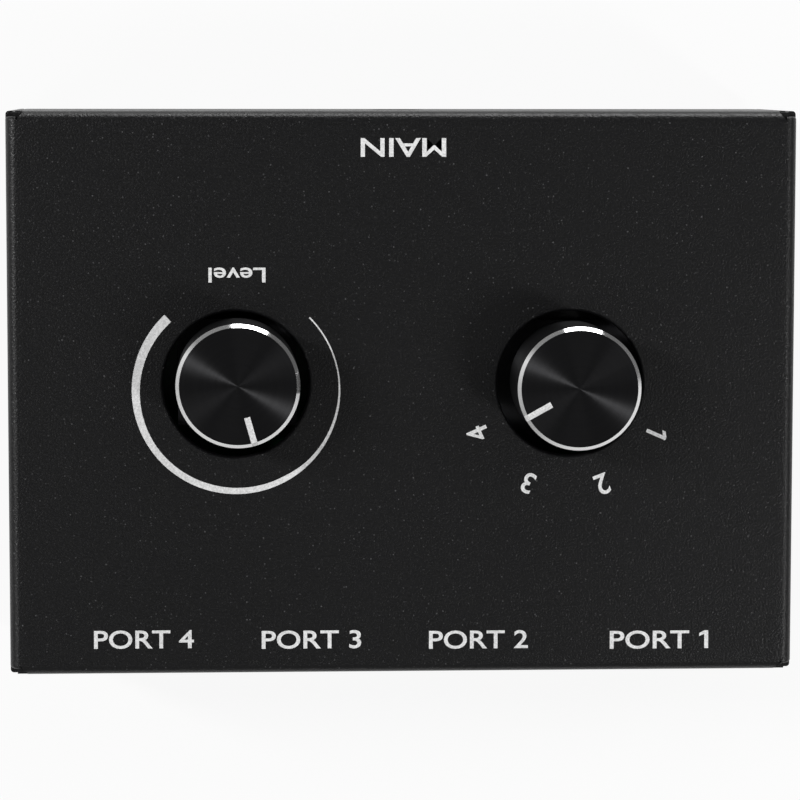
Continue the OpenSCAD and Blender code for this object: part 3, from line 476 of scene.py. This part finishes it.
def screw_tabs(size, at):
    """A plate with a round hole, and a quarter circle that turns it in from the side wall."""
    across, hole_x = (HALF_W - size.tab_reach, at.bend_x), HALF_W - (size.tab_reach + size.sheet) / 2
    for sx, sy in ((-1, -1), (-1, 1), (1, -1), (1, 1)):
        y = sy * size.tab_place
        near = y - size.tab_width / 2
        span = (near, near + size.tab_width)
        plate = holed_plate(across, span, (hole_x, y), size.tab_hole / 2, size.sheet, size.tab_rim, 48, 2)
        yield placed(plate, (0, 0, LOW + size.sheet), (sx, 0, 0))
        lines = ((at.bend_x, at.notch) + bend * at.arc * (1, -1) for bend in (at.outer, size.fold))
        yield thick_sheet(*(carried(line * (sx, 1), span, 1) for line in lines))


# Finishes


def feed(node, inputs):
    """Gives each input of a node a value or a link from another socket of its tree."""
    for key, value in inputs.items():
        if isinstance(value, bpy.types.NodeSocket):
            node.id_data.links.new(value, node.inputs[key])
        else:
            node.inputs[key].default_value = value


def put(beside, kind, inputs, **settings):
    """Adds a shader node to the tree of another node or socket, sets its properties and feeds its inputs."""
    made = beside.id_data.nodes.new("ShaderNode" + kind)
    for key, value in settings.items():
        setattr(made, key, value)
    feed(made, inputs)
    return made


def calc(operation, *values, **settings):
    """The outcome of a sum on a socket and other sockets or numbers."""
    return put(values[0], "Math", dict(enumerate(values)), operation=operation, **settings).outputs[0]


def noise(where, scale, detail, **more):
    """Soft noise over coordinates, in cells a metre."""
    return put(where, "TexNoise", {"Vector": where, "Scale": scale, "Detail": detail, **more}).outputs[0]


def fade(value, start, end, **settings):
    """A value's way from start, 0, to end, 1."""
    return put(value, "MapRange", {"Value": value, 1: start, 2: end}, **settings).outputs[0]


def blend(share, first, second):
    """A colour between two others."""
    return put(share, "Mix", {0: share, 6: first, 7: second}, data_type="RGBA").outputs[2]


def relief(strength, depth, height):
    """A bumped normal from a height, with the depth in metres."""
    return put(height, "Bump", {"Strength": strength, "Distance": depth, "Height": height}).outputs[0]


def ramp(factor, *stops):
    """A colour ramp with the given stops, each a place and a grey or a colour."""
    made = put(factor, "ValToRGB", {"Fac": factor})
    steps = made.color_ramp.elements
    while len(steps) < len(stops):
        steps.new(1.0)
    for step, (place, colour) in zip(steps, stops):
        step.position = place
        step.color = (*colour, 1.0) if len(np.shape(colour)) else (colour, colour, colour, 1.0)
    return made.outputs["Color"]


def scaled(colour, factor):
    """A colour made lighter or darker."""
    return tuple(min(1.0, c * factor) for c in colour)


def varied(factor, value, low, high, edge=0.3):
    """A colour or grey that goes from low to high times its value, as a factor goes from one edge to the other."""
    value = value if np.shape(value) else (value,) * 3
    return ramp(factor, (edge, scaled(value, low)), (1 - edge, scaled(value, high)))


def new_finish(name, place="Object"):
    """An empty node material with its shader and the coordinates that it goes by."""
    made = bpy.data.materials.new(name)
    made.use_nodes = True
    shader = made.node_tree.nodes["Principled BSDF"]
    return made, shader, put(shader, "TexCoord", {}).outputs[place]


def powder_coat(name, coat, speck):
    """Fine textured powder coat: small soft bumps, an uneven matt gloss, and painted glints, bright specks in two
    sizes.
    """
    made, shader, where = new_finish(name)
    peel = noise(where, 3600.0, 2.0, Roughness=0.55)
    base = varied(noise(where, 3400.0, 2.0), coat, 0.82, 1.18, 0.32)
    glint_rarity = 2.5
    # Painted glints: rare bright dots in two sizes, mixed into the base colour
    for cells, size in ((1500.0, 0.18), (900.0, 0.13)):
        grain = put(where, "TexVoronoi", {"Vector": where, "Scale": cells})
        dot = fade(grain.outputs["Distance"], size, size * 0.4)
        glint_chance = calc("POWER", put(grain, "SeparateColor", {0: grain.outputs["Color"]}).outputs[0], glint_rarity)
        base = blend(calc("MULTIPLY", dot, glint_chance), base, (*speck, 1.0))
    feed(shader, {
        "Base Color": base,
        "Roughness": varied(peel, 1.0, 0.29, 0.4),
        "Specular IOR Level": 0.4,
        "Normal": relief(0.8, 0.00008, peel),
    })
    return made


def turned_metal(name, colour, pitch, rough, groove, streak, bare=1.0):
    """Metal cut on a lathe: fine rings at an even pitch, gloss drawn out across them, and a share of bare metal."""
    made, shader, where = new_finish(name, "UV")
    along = put(where, "SeparateXYZ", {0: where}).outputs[1]
    wave = calc("SINE", calc("MULTIPLY", along, 2 * math.pi / pitch))
    uneven = put(along, "TexNoise", {"Scale": 1.0 / (2.2 * pitch), "W": along}, noise_dimensions="1D").outputs[0]
    tangent = put(shader, "Tangent", {}, direction_type="RADIAL", axis="Z")
    feed(shader, {
        "Base Color": varied(uneven, colour, 0.94, 1.06),
        "Roughness": varied(uneven, rough, 0.96, 1.04),
        "Metallic": bare,
        "Specular IOR Level": 0.25,
        "Anisotropic": streak,
        "Anisotropic Rotation": 0.25,
        "Tangent": tangent.outputs[0],
        "Normal": relief(groove, 0.00001, calc("MULTIPLY", wave, uneven)),
    })
    return made


def printed_ink(name, colour):
    """Screen printed ink: slightly mottled, with a fine mesh grain."""
    made, shader, where = new_finish(name)
    mottle = noise(where, 3800.0, 3.0)
    feed(shader, {
        "Base Color": varied(mottle, colour, 0.8, 1.15, 0.32),
        "Roughness": varied(mottle, 1.0, 0.5, 0.7),
        "Specular IOR Level": 0.3,
        "Normal": relief(0.15, 0.00003, mottle),
    })
    return made


def moulded(name, colour, rough, scale=1800.0, strength=0.15):
    """Moulded plastic or rubber: a fine spark-eroded grain and a slightly uneven tone."""
    made, shader, where = new_finish(name)
    grain = noise(where, scale, 4.0)
    cloud = noise(where, 150.0, 2.0)
    feed(shader, {
        "Base Color": varied(cloud, colour, 0.85, 1.2),
        "Roughness": varied(grain, rough, 0.85, 1.15),
        "Specular IOR Level": 0.4,
        "Normal": relief(strength, 0.00005, grain),
    })
    return made


def plated(name, colour, rough, stretch=(1.0, 1.0, 6.0)):
    """Plated or rolled metal: fine drawn scratches along one way and cloudy gloss."""
    made, shader, where = new_finish(name)
    drawn = put(where, "Mapping", {"Vector": where, "Scale": stretch})
    lines = noise(drawn.outputs[0], 2200.0, 4.0)
    cloud = noise(where, 260.0, 3.0)
    feed(shader, {
        "Base Color": varied(cloud, colour, 0.88, 1.08),
        "Roughness": varied(lines, rough, 0.75, 1.25),
        "Metallic": 1.0,
        "Normal": relief(0.06, 0.00002, lines),
    })
    return made


def solder_mask(name, colour):
    """A circuit board's lacquer: glossy green with a faint glass weave and darker runs of buried track."""
    made, shader, where = new_finish(name)
    weave = put(where, "TexChecker", {"Vector": where, "Scale": 1400.0})
    cell = put(where, "TexVoronoi", {"Vector": where, "Scale": 240.0}, distance="CHEBYCHEV")
    runs = ramp(cell.outputs["Distance"], (0.42, scaled(colour, 0.8)), (0.5, scaled(colour, 1.35)))
    feed(shader, {
        "Base Color": blend(weave.outputs[1], runs, (*scaled(colour, 0.95), 1.0)),
        "Roughness": 0.28,
        "Normal": relief(0.1, 0.00003, cell.outputs["Distance"]),
    })
    return made


def studio_floor(name, colour):
    """A pale matt floor: nearly white to the eye, with a light shadow, and partly white to mirrors.

    Far off to -X, on the near side of a slanting line, mirrors see it as dim grey: a painted dark reflection.
    """
    made, shader, where = new_finish(name)
    eye_share, mirror_share, painted_dim_tone = 0.9, 0.35, 0.16
    line_slope, line_place, far_off = 0.29, (-0.12, -0.15), (-0.2, -0.3)
    grain = noise(where, 40.0, 3.0)
    feed(shader, {
        "Base Color": varied(grain, colour, 0.99, 1.01),
        "Roughness": 0.9,
        "Specular IOR Level": 0.1,
    })
    path = put(shader, "LightPath", {}).outputs
    seen = calc("ADD", path["Is Camera Ray"], calc("MULTIPLY", path["Is Glossy Ray"], mirror_share))
    seen = calc("ADD", seen, path["Is Transmission Ray"], use_clamp=True)
    x, y, _ = put(where, "SeparateXYZ", {0: where}).outputs
    # Painted dark reflection: past a slanting line and far off to -X, glossy rays see a dim grey glow instead of the
    # floor
    beyond = fade(calc("MULTIPLY_ADD", x, line_slope, y), *line_place)
    dim = calc("MULTIPLY", calc("MULTIPLY", beyond, fade(x, *far_off)), path["Is Glossy Ray"])
    mix = shader
    for share, tone in ((calc("MULTIPLY", seen, eye_share), 1), (dim, painted_dim_tone)):
        glow = put(shader, "Emission", {"Color": (tone, tone, tone, 1), "Strength": 1.0})
        mix = put(shader, "MixShader", {0: share, 1: mix.outputs[0], 2: glow.outputs[0]})
    feed(made.node_tree.nodes["Material Output"], {"Surface": mix.outputs[0]})
    return made


# Operators


class SELECTOR_OT_cover(bpy.types.Operator):
    """Builds the folded cover: a panel with two rounded holes, four bent walls, jack holes and screw tabs"""

    bl_idname = "selector.cover"
    bl_label = "Cover"

    def execute(self, context):
        size = context.scene.selector_cover
        at = cover_lines(size)
        steps = (knob_panel, side_walls, corner_webs, end_bends, jack_walls, screw_tabs)
        shells = [shell for step in steps for shell in step(size, at)]
        coat = powder_coat("powder_coat", size.coat, size.speck)
        piece("cover", shells, [coat], "case", ["top_cover"])
        return {"FINISHED"}


class SELECTOR_OT_knobs(bpy.types.Operator):
    """Turns the two knobs, with a bright chamfer, and lays in their pointer lines"""

    bl_idname = "selector.knobs"
    bl_label = "Knobs"

    def execute(self, context):
        size = context.scene.selector_knobs
        black = turned_metal(
            "anodised_black", size.anodised, size.turning, rough=0.32, groove=0.05, streak=1.0, bare=0.65
        )
        bright = turned_metal("bright_cut", size.bright, size.turning * 0.7, rough=0.12, groove=0.03, streak=0.5)
        paint = printed_ink("pointer_paint", size.paint)
        for name, body in (("volume", "volume_control"), ("selector", "selector_control")):
            near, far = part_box(f"{name}_knob")
            axis = (near + far) / 2
            radius, low, top = (far.x - near.x) / 2, near.z, far.z - size.pointer_rise
            shell = self.shell(axis, radius, low, top, size)
            made = piece(f"{name}_knob_shell", [shell], [black, bright], body, [f"{name}_knob"], 20)
            self.cut_ring(made.data, axis, radius - size.chamfer, top - size.chamfer)
            self.pointer(name, body, axis, radius, top, size, paint)
        return {"FINISHED"}

    def shell(self, axis, radius, low, top, size):
        """A section goes round the axis: hollow, foot, side, a cut at 45 degrees and a flat face in narrow rings.

        The second texture coordinate is the radius plus the height, so that turning marks run on over the edges.
        """
        inside, roof = radius - size.wall, top - size.crown
        flat, foot = radius - size.chamfer, top - size.chamfer
        side = rounded([(0, roof), (inside, roof), (inside, low), (radius, low), (radius, foot)], size.soften)
        cut, face = np.linspace((radius, foot), (flat, top), 4), np.linspace((flat, top), (0, top), 24)
        points, faces, uv = revolve(np.concatenate([side, cut[1:], face[1:]]), 256)
        uv = np.stack([uv[:, 0], np.hypot(points[:, 0], points[:, 1]) + points[:, 2]], -1)
        return points + (axis.x, axis.y, 0), faces, uv

    def cut_ring(self, mesh, axis, flat, foot):
        """The faces of the chamfer, found by their middle's radius and height, take the bright finish."""
        middle = read(mesh.polygons, "center") - (axis.x, axis.y, 0)
        ring = (np.hypot(middle[:, 0], middle[:, 1]) > flat) & (middle[:, 2] > foot)
        mesh.polygons.foreach_set("material_index", ring.astype(np.int32))

    def pointer(self, name, body, axis, radius, top, size, paint):
        """A strip along the radius whose top follows the knob's face and chamfer, a little proud of them."""
        near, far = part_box(f"{name}_pointer")
        way = np.array((near + far) / 2 - axis)[:2]
        way = way / np.linalg.norm(way)
        flat, start = radius - size.chamfer, radius - size.pointer_length
        r = np.array([start, start + BAND, flat, radius])
        rise = top + size.pointer_rise - np.clip(r - flat, 0, None)
        across = np.array([-1, -0.94, 0.94, 1]) * size.pointer_width / 2
        edge = np.array([0.6, 0, 0, 0.6]) * size.pointer_rise
        grid = np.empty((len(r), 4, 3))
        grid[..., 0] = axis.x + r[:, None] * way[0] - across * way[1]
        grid[..., 1] = axis.y + r[:, None] * way[1] + across * way[0]
        grid[..., 2] = rise[:, None] - edge
        under, least = grid.copy(), 0.2 * MM
        under[..., 2] = np.minimum(near.z, rise[:, None] - least)
        line = thick_sheet(grid, under)
        piece(f"{name}_pointer_line", [line], [paint], body, [f"{name}_pointer"])


class SELECTOR_OT_small_parts(bpy.types.Operator):
    """Turns the rubber feet, the base screws and the jack bushes"""

    bl_idname = "selector.small_parts"
    bl_label = "Feet, screws and bushes"

    def execute(self, context):
        size = context.scene.selector_small
        self.feet(size)
        self.screws(size, context.scene.selector_cover)
        self.bushes(size)
        return {"FINISHED"}

    def feet(self, size):
        """A foot is turned from a rounded outline with a shallow dish under it."""
        rubber = moulded("foot_rubber", size.rubber, rough=0.75, scale=1400.0, strength=0.25)
        for n in range(1, 5):
            near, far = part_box(f"foot_{n}")
            axis, radius, height = (near + far) / 2, (far.x - near.x) / 2, far.z - near.z
            deep, dish, sole = size.foot_dish, radius * 0.5, radius * 0.62
            corners = [(0, deep), (dish, deep), (sole, 0), (radius, 0), (radius, height), (0, height)]
            outline = rounded(corners, size.foot_round)
            shell = placed(revolve(outline), (axis.x, axis.y, near.z))
            piece(f"foot_pad_{n}", [shell], [rubber], "case", [f"foot_{n}"])

    def screws(self, size, cover):
        """Each head is a spherical cap; its socket's radius follows a hexagon as the angle goes round."""
        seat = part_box("base_plate")[0].z
        head, high, hexagon, thread = size.head / 2, size.head_height, size.socket / 2, size.thread / 2
        end, tip, drill = -size.screw_length, 0.3 * MM, 0.2 * MM
        x = HALF_W - (cover.tab_reach + cover.sheet) / 2
        dome = np.append(np.linspace(head, size.socket * 0.75, 9), hexagon)
        cap = high - size.head + np.sqrt(size.head**2 - dome**2)
        outline = np.concatenate([
            [(0, end), (thread - tip, end), (thread, tip + end), (thread, 0), (head, 0)],
            np.stack([dome, cap], -1),
            [(hexagon, high / 2), (0, high / 2 - drill)],
        ])
        hexed = np.zeros((len(outline), 1), bool)
        hexed[-3:-1] = True

        def squeeze(angle):
            return np.where(hexed, 1 / np.cos((angle + np.pi / 6) % (np.pi / 3) - np.pi / 6), 1.0)

        screw = revolve(outline, squeeze=squeeze)
        shells = [
            placed(screw, (sx * x, sy * cover.tab_place, seat), (1, 0, 0), (0, -1, 0), (0, 0, -1))
            for sx in (-1, 1) for sy in (-1, 1)
        ]
        oxide = plated("black_oxide", size.oxide, 0.42)
        piece("base_screw_set", shells, [oxide], "case", ["base_screws"], 25)

    def bushes(self, size):
        """A bush is turned round the jack's axis: outside, countersunk mouth and bore; its pin is a thin strip."""
        nickel = plated("nickel_plate", size.nickel, 0.2)
        for n, jack in JACKS.items():
            near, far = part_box(f"jack_sleeve_{n}")
            x, _, z = jack["pos_m"]
            way = jack["axis"][1]
            face, back = (far.y, near.y) if way > 0 else (near.y, far.y)
            long, bore, nose = abs(face - back), jack["dims"]["r_mm"] * MM, size.nose / 2
            mouth, lip = size.mouth, 0.1 * MM
            corners = [(bore, -long), (nose, -long), (nose, 0), (bore + mouth, 0), (bore, -mouth), (bore, -long)]
            ring = rounded(corners, lip)
            tube = placed(revolve(ring), (x, face, z), (1, 0, 0), (0, 0, 1), (0, way, 0))
            y = face - way * (long + size.nose_length) / 2
            wide, thin, top = size.pin / 2, size.strip / 2, z - (nose + bore) / 2
            grid = carried(np.array([(x - wide, top), (x + wide, top)]), (y - thin, y + thin), 1)
            under = grid.copy()
            under[..., 2] = near.z
            shells = [tube, thick_sheet(grid, under)]
            piece(f"jack_bush_{n}", shells, [nickel], "case", [f"jack_sleeve_{n}"])


class SELECTOR_OT_printing(bpy.types.Operator):
    """Prints the volume arc, the dial numbers and the jack labels on the panel"""

    bl_idname = "selector.printing"
    bl_label = "Printing"

    def execute(self, context):
        size = context.scene.selector_print
        ink = printed_ink("panel_ink", size.ink)
        self.arc(size, ink)
        dial, label = (size.dial_height, None, ink, size.film), (size.label_width, ink, size.film)
        for n, a in enumerate(np.radians(DIAL_ANGLES), 1):
            middle = np.multiply(DIAL_MIDDLE, MM) + size.dial_radius * np.array([math.cos(a), math.sin(a)])
            self.word(f"dial_number_{n}", str(n), middle, a - math.pi / 2, *dial)
        for n, place in enumerate(BACK_LABELS, 1):
            middle = np.multiply(place, MM)
            self.word(f"back_label_{n}", f"{size.back_text} {n}", middle, math.pi, size.label_height, *label)
        for name, text, place, height, width in (
            ("front_label", size.front_text, FRONT_LABEL, size.label_height, size.front_width),
            ("level_word", size.level_text, LEVEL_WORD, size.level_height, size.level_width),
        ):
            self.word(name, text, np.multiply(place, MM), 0.0, height, width, ink, size.film)
        return {"FINISHED"}

    def arc(self, size, ink):
        """A strip round the knob: its outer radius stays, and its inner one shrinks as the width grows."""
        angle = np.radians(np.linspace(*ARC_ENDS, ARC_STEPS))[:, None]
        growth = np.interp(np.linspace(0, 1, ARC_STEPS), ARC_STATIONS, ARC_GROWTH)
        wide = size.arc_thin + (size.arc_thick - size.arc_thin) * growth
        radius = np.stack([size.arc_radius - wide, size.arc_radius + 0 * wide], -1)
        grid = np.empty((ARC_STEPS, 2, 3))
        grid[..., 0] = ARC_MIDDLE[0] * MM + radius * np.cos(angle)
        grid[..., 1] = ARC_MIDDLE[1] * MM + radius * np.sin(angle)
        grid[..., 2] = TOP + size.film
        under = grid - (0, 0, size.film * (1 - FILM_LIFT))
        piece("volume_arc", [thick_sheet(grid, under)], [ink], "case")

    def word(self, name, text, middle, turn, height, width, ink, film):
        """Letters become a mesh first; then they are scaled to their height and width, turned and moved."""
        curve = bpy.data.curves.new(name, "FONT")
        curve.body, curve.extrude, curve.offset, curve.resolution_u = text, TYPE_DEPTH, TYPE_WEIGHT, 5
        letters = linked(name, curve)
        mesh = bpy.data.meshes.new_from_object(letters.evaluated_get(bpy.context.evaluated_depsgraph_get()))
        bpy.data.objects.remove(letters)
        bpy.data.curves.remove(curve)
        work = bmesh.new()
        work.from_mesh(mesh)
        bmesh.ops.remove_doubles(work, verts=work.verts, dist=1e-5)
        if text.endswith("1"):
            slant = np.array(FLAG) + (read(mesh.vertices, "co")[:, 0].max(), 0)
            points, faces, _ = thick_sheet(*(np.insert(slant, 2, z, axis=2) for z in (TYPE_DEPTH, -TYPE_DEPTH)))
            flag = bpy.data.meshes.new(name)
            flag.from_pydata(points.tolist(), [], faces.tolist())
            work.from_mesh(flag)
            bpy.data.meshes.remove(flag)
        bmesh.ops.recalc_face_normals(work, faces=work.faces)
        work.to_mesh(mesh)
        work.free()
        points = read(mesh.vertices, "co")
        low, high = points.min(0), points.max(0)
        scale = height / (high[1] - low[1])
        wide = scale if width is None else width / (high[0] - low[0])
        x, y = (points[:, :2] - (low + high)[:2] / 2).T * [[wide], [scale]]
        z = TOP + film * np.where(points[:, 2] > 0, 1.0, FILM_LIFT)
        c, s = math.cos(turn), math.sin(turn)
        points = np.stack([middle[0] + c * x - s * y, middle[1] + s * x + c * y, z], -1)
        mesh.vertices.foreach_set("co", points.reshape(-1))
        mesh.name = name
        mesh.update()
        mesh.materials.clear()
        mesh.materials.append(ink)
        made = linked(name, mesh)
        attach(made, "case")


class SELECTOR_OT_finishes(bpy.types.Operator):
    """Gives every model node that stays its own finish"""

    bl_idname = "selector.finishes"
    bl_label = "Finishes of the model's own parts"

    def execute(self, context):
        size, cover = context.scene.selector_small, context.scene.selector_cover
        contacts = [f"jack_{kind}_contact_{n}" for kind in ("ring", "tip") for n in JACKS]
        groups = (
            (powder_coat("plate_coat", cover.coat, cover.speck), ["base_plate"]),
            (plated("zinc_plate", size.zinc, 0.34), ["pcb_screws"]),
            # The brackets take a near-black tone as painted shade, which keeps the knob holes dark where they show
            # through
            (moulded("bracket_black", size.oxide, 0.6, 2400.0), ["pot_bracket", "switch_bracket"]),
            (plated("turned_brass", size.brass, 0.28), ["pcb_standoffs"]),
            (solder_mask("board_lacquer", size.board), ["main_pcb"]),
            (moulded("jack_plastic", size.plastic, 0.5), [f"jack_housing_{n}" for n in JACKS]),
            (plated("contact_bronze", size.bronze, 0.26),
             contacts + ["pot_lower_wiper", "pot_upper_wiper", "switch_wiper_1", "switch_wiper_2"]),
            (moulded("wafer_sheet", size.wafer, 0.55, 900.0), ["pot_lower_wafer", "pot_upper_wafer"]),
            (plated("tinned_strip", scaled(size.zinc, 1.15), 0.3), ["switch_contacts", "switch_slip_rings"]),
            # The terminals' tin is darkened as painted shade, for the shade they sit in under the panel
            (plated("dull_tin", scaled(size.zinc, 0.12), 0.6), ["pot_terminals"]),
            (moulded("control_plastic", size.plastic, 0.55), ["pot_housing", "switch_housing"]),
            (moulded("rotor_nylon", size.nylon, 0.45), ["pot_rotor", "switch_rotor"]),
            (plated("spring_steel", scaled(size.zinc, 0.8), 0.25, (6.0, 1.0, 1.0)), ["switch_click_spring"]),
            (plated("shaft_metal", size.aluminium, 0.3), ["pot_shaft", "switch_shaft"]),
            (moulded("core_plastic", size.plastic, 0.6), ["volume_knob_core", "selector_knob_core"]),
        )
        for finish, names in groups:
            for name in names:
                slots = frame["nodes"][name].data.materials
                slots.clear()
                slots.append(finish)
        return {"FINISHED"}


class SELECTOR_OT_stage(bpy.types.Operator):
    """Sets up the floor, the room's light, the lamps and the camera"""

    bl_idname = "selector.stage"
    bl_label = "Stage"

    def execute(self, context):
        size = context.scene.selector_stage
        context.scene.view_settings.view_transform = "Standard"
        self.floor(size)
        self.room(context.scene, size)
        for name, power, place, spread in LAMPS:
            self.lamp(name, place, spread, getattr(size, power))
        self.camera(context.scene, size)
        return {"FINISHED"}

    def floor(self, size):
        """A flat disc on a grid of angle and radius."""
        points, faces, uv = revolve(np.stack([FLOOR_RADII, np.zeros(len(FLOOR_RADII))], -1))
        points, polygons, _ = welded((points, faces[:, ::-1], uv))
        mesh = bpy.data.meshes.new("floor")
        mesh.from_pydata(points.tolist(), [], polygons)
        mesh.materials.append(studio_floor("pale_floor", size.floor))
        made = linked("floor", mesh)

    def room(self, scene, size):
        """The room's tone low down goes with the way round it; higher up it fades to a dim ceiling."""
        scene.world = bpy.data.worlds.new("room")
        scene.world.use_nodes = True
        room = scene.world.node_tree.nodes["Background"]
        x, y, z = put(room, "SeparateXYZ", {0: put(room, "TexCoord", {}).outputs["Generated"]}).outputs
        turn = calc("MULTIPLY_ADD", calc("ARCTAN2", y, x), 0.5 / math.pi, 0.5)
        aft = fade(y, -0.05, 0.45, interpolation_type="SMOOTHSTEP")
        high = ramp(aft, (0.0, tuple(size.zenith)), (1.0, scaled(size.zenith, 2.6)))
        rise = fade(z, 0.1, 0.6, interpolation_type="SMOOTHSTEP")
        feed(room, {"Color": blend(rise, ramp(turn, *ROOM_TONES), high)})

    def lamp(self, name, place, spread, power):
        """A rectangular lamp that faces the middle of the object."""
        data = bpy.data.lights.new(name, "AREA")
        data.shape, data.size, data.size_y, data.energy = "RECTANGLE", *spread, power
        made = linked(name, data)
        made.location = place
        made.rotation_euler = (Vector(LAMP_AIM) - Vector(place)).to_track_quat("-Z", "Y").to_euler()

    def camera(self, scene, size):
        """The camera looks along eye to aim with the picture's right along -X, then is rolled a little."""
        data = bpy.data.cameras.new("camera")
        data.sensor_fit, data.sensor_width, data.lens = "HORIZONTAL", 36.0, size.lens
        data.clip_start, data.clip_end = 0.01, 20.0
        ahead = (Vector(size.aim) - Vector(size.eye)).normalized()
        right = Vector((-1, 0, 0))
        right = (right - right.dot(ahead) * ahead).normalized()
        down = ahead.cross(right)
        c, s = math.cos(size.roll), math.sin(size.roll)
        right, down = c * right + s * down, c * down - s * right
        made = linked("camera", data)
        turn = Matrix((right, -down, -ahead)).transposed().to_4x4()
        made.matrix_world = Matrix.Translation(Vector(size.eye)) @ turn
        scene.camera = made


GROUPS = {
    "selector_cover": SelectorCover,
    "selector_knobs": SelectorKnobs,
    "selector_print": SelectorPrint,
    "selector_small": SelectorSmall,
    "selector_stage": SelectorStage,
}

OPERATORS = (
    SELECTOR_OT_cover,
    SELECTOR_OT_knobs,
    SELECTOR_OT_small_parts,
    SELECTOR_OT_printing,
    SELECTOR_OT_finishes,
    SELECTOR_OT_stage,
)


class SELECTOR_PT_panel(bpy.types.Panel):
    """Lists the sizes, colours and steps of the selector"""

    bl_idname = "SELECTOR_PT_panel"
    bl_label = "Audio source selector"
    bl_space_type = "VIEW_3D"
    bl_region_type = "UI"
    bl_category = "Selector"

    def draw(self, context):
        for name, kind in GROUPS.items():
            box = self.layout.box()
            box.label(text=kind.__doc__)
            for key in kind.__annotations__:
                box.prop(getattr(context.scene, name), key)
        for kind in OPERATORS:
            self.layout.operator(kind.bl_idname)


CLASSES = (*GROUPS.values(), *OPERATORS, SELECTOR_PT_panel)


def register():
    for kind in CLASSES:
        bpy.utils.register_class(kind)
    for name, kind in GROUPS.items():
        setattr(bpy.types.Scene, name, PointerProperty(type=kind))


def unregister():
    for name in GROUPS:
        delattr(bpy.types.Scene, name)
    for kind in reversed(CLASSES):
        bpy.utils.unregister_class(kind)


def main():
    register()
    bpy.ops.selector.cover()
    bpy.ops.selector.knobs()
    bpy.ops.selector.small_parts()
    bpy.ops.selector.printing()
    bpy.ops.selector.finishes()
    bpy.ops.selector.stage()


if __name__ == "__main__":
    main()
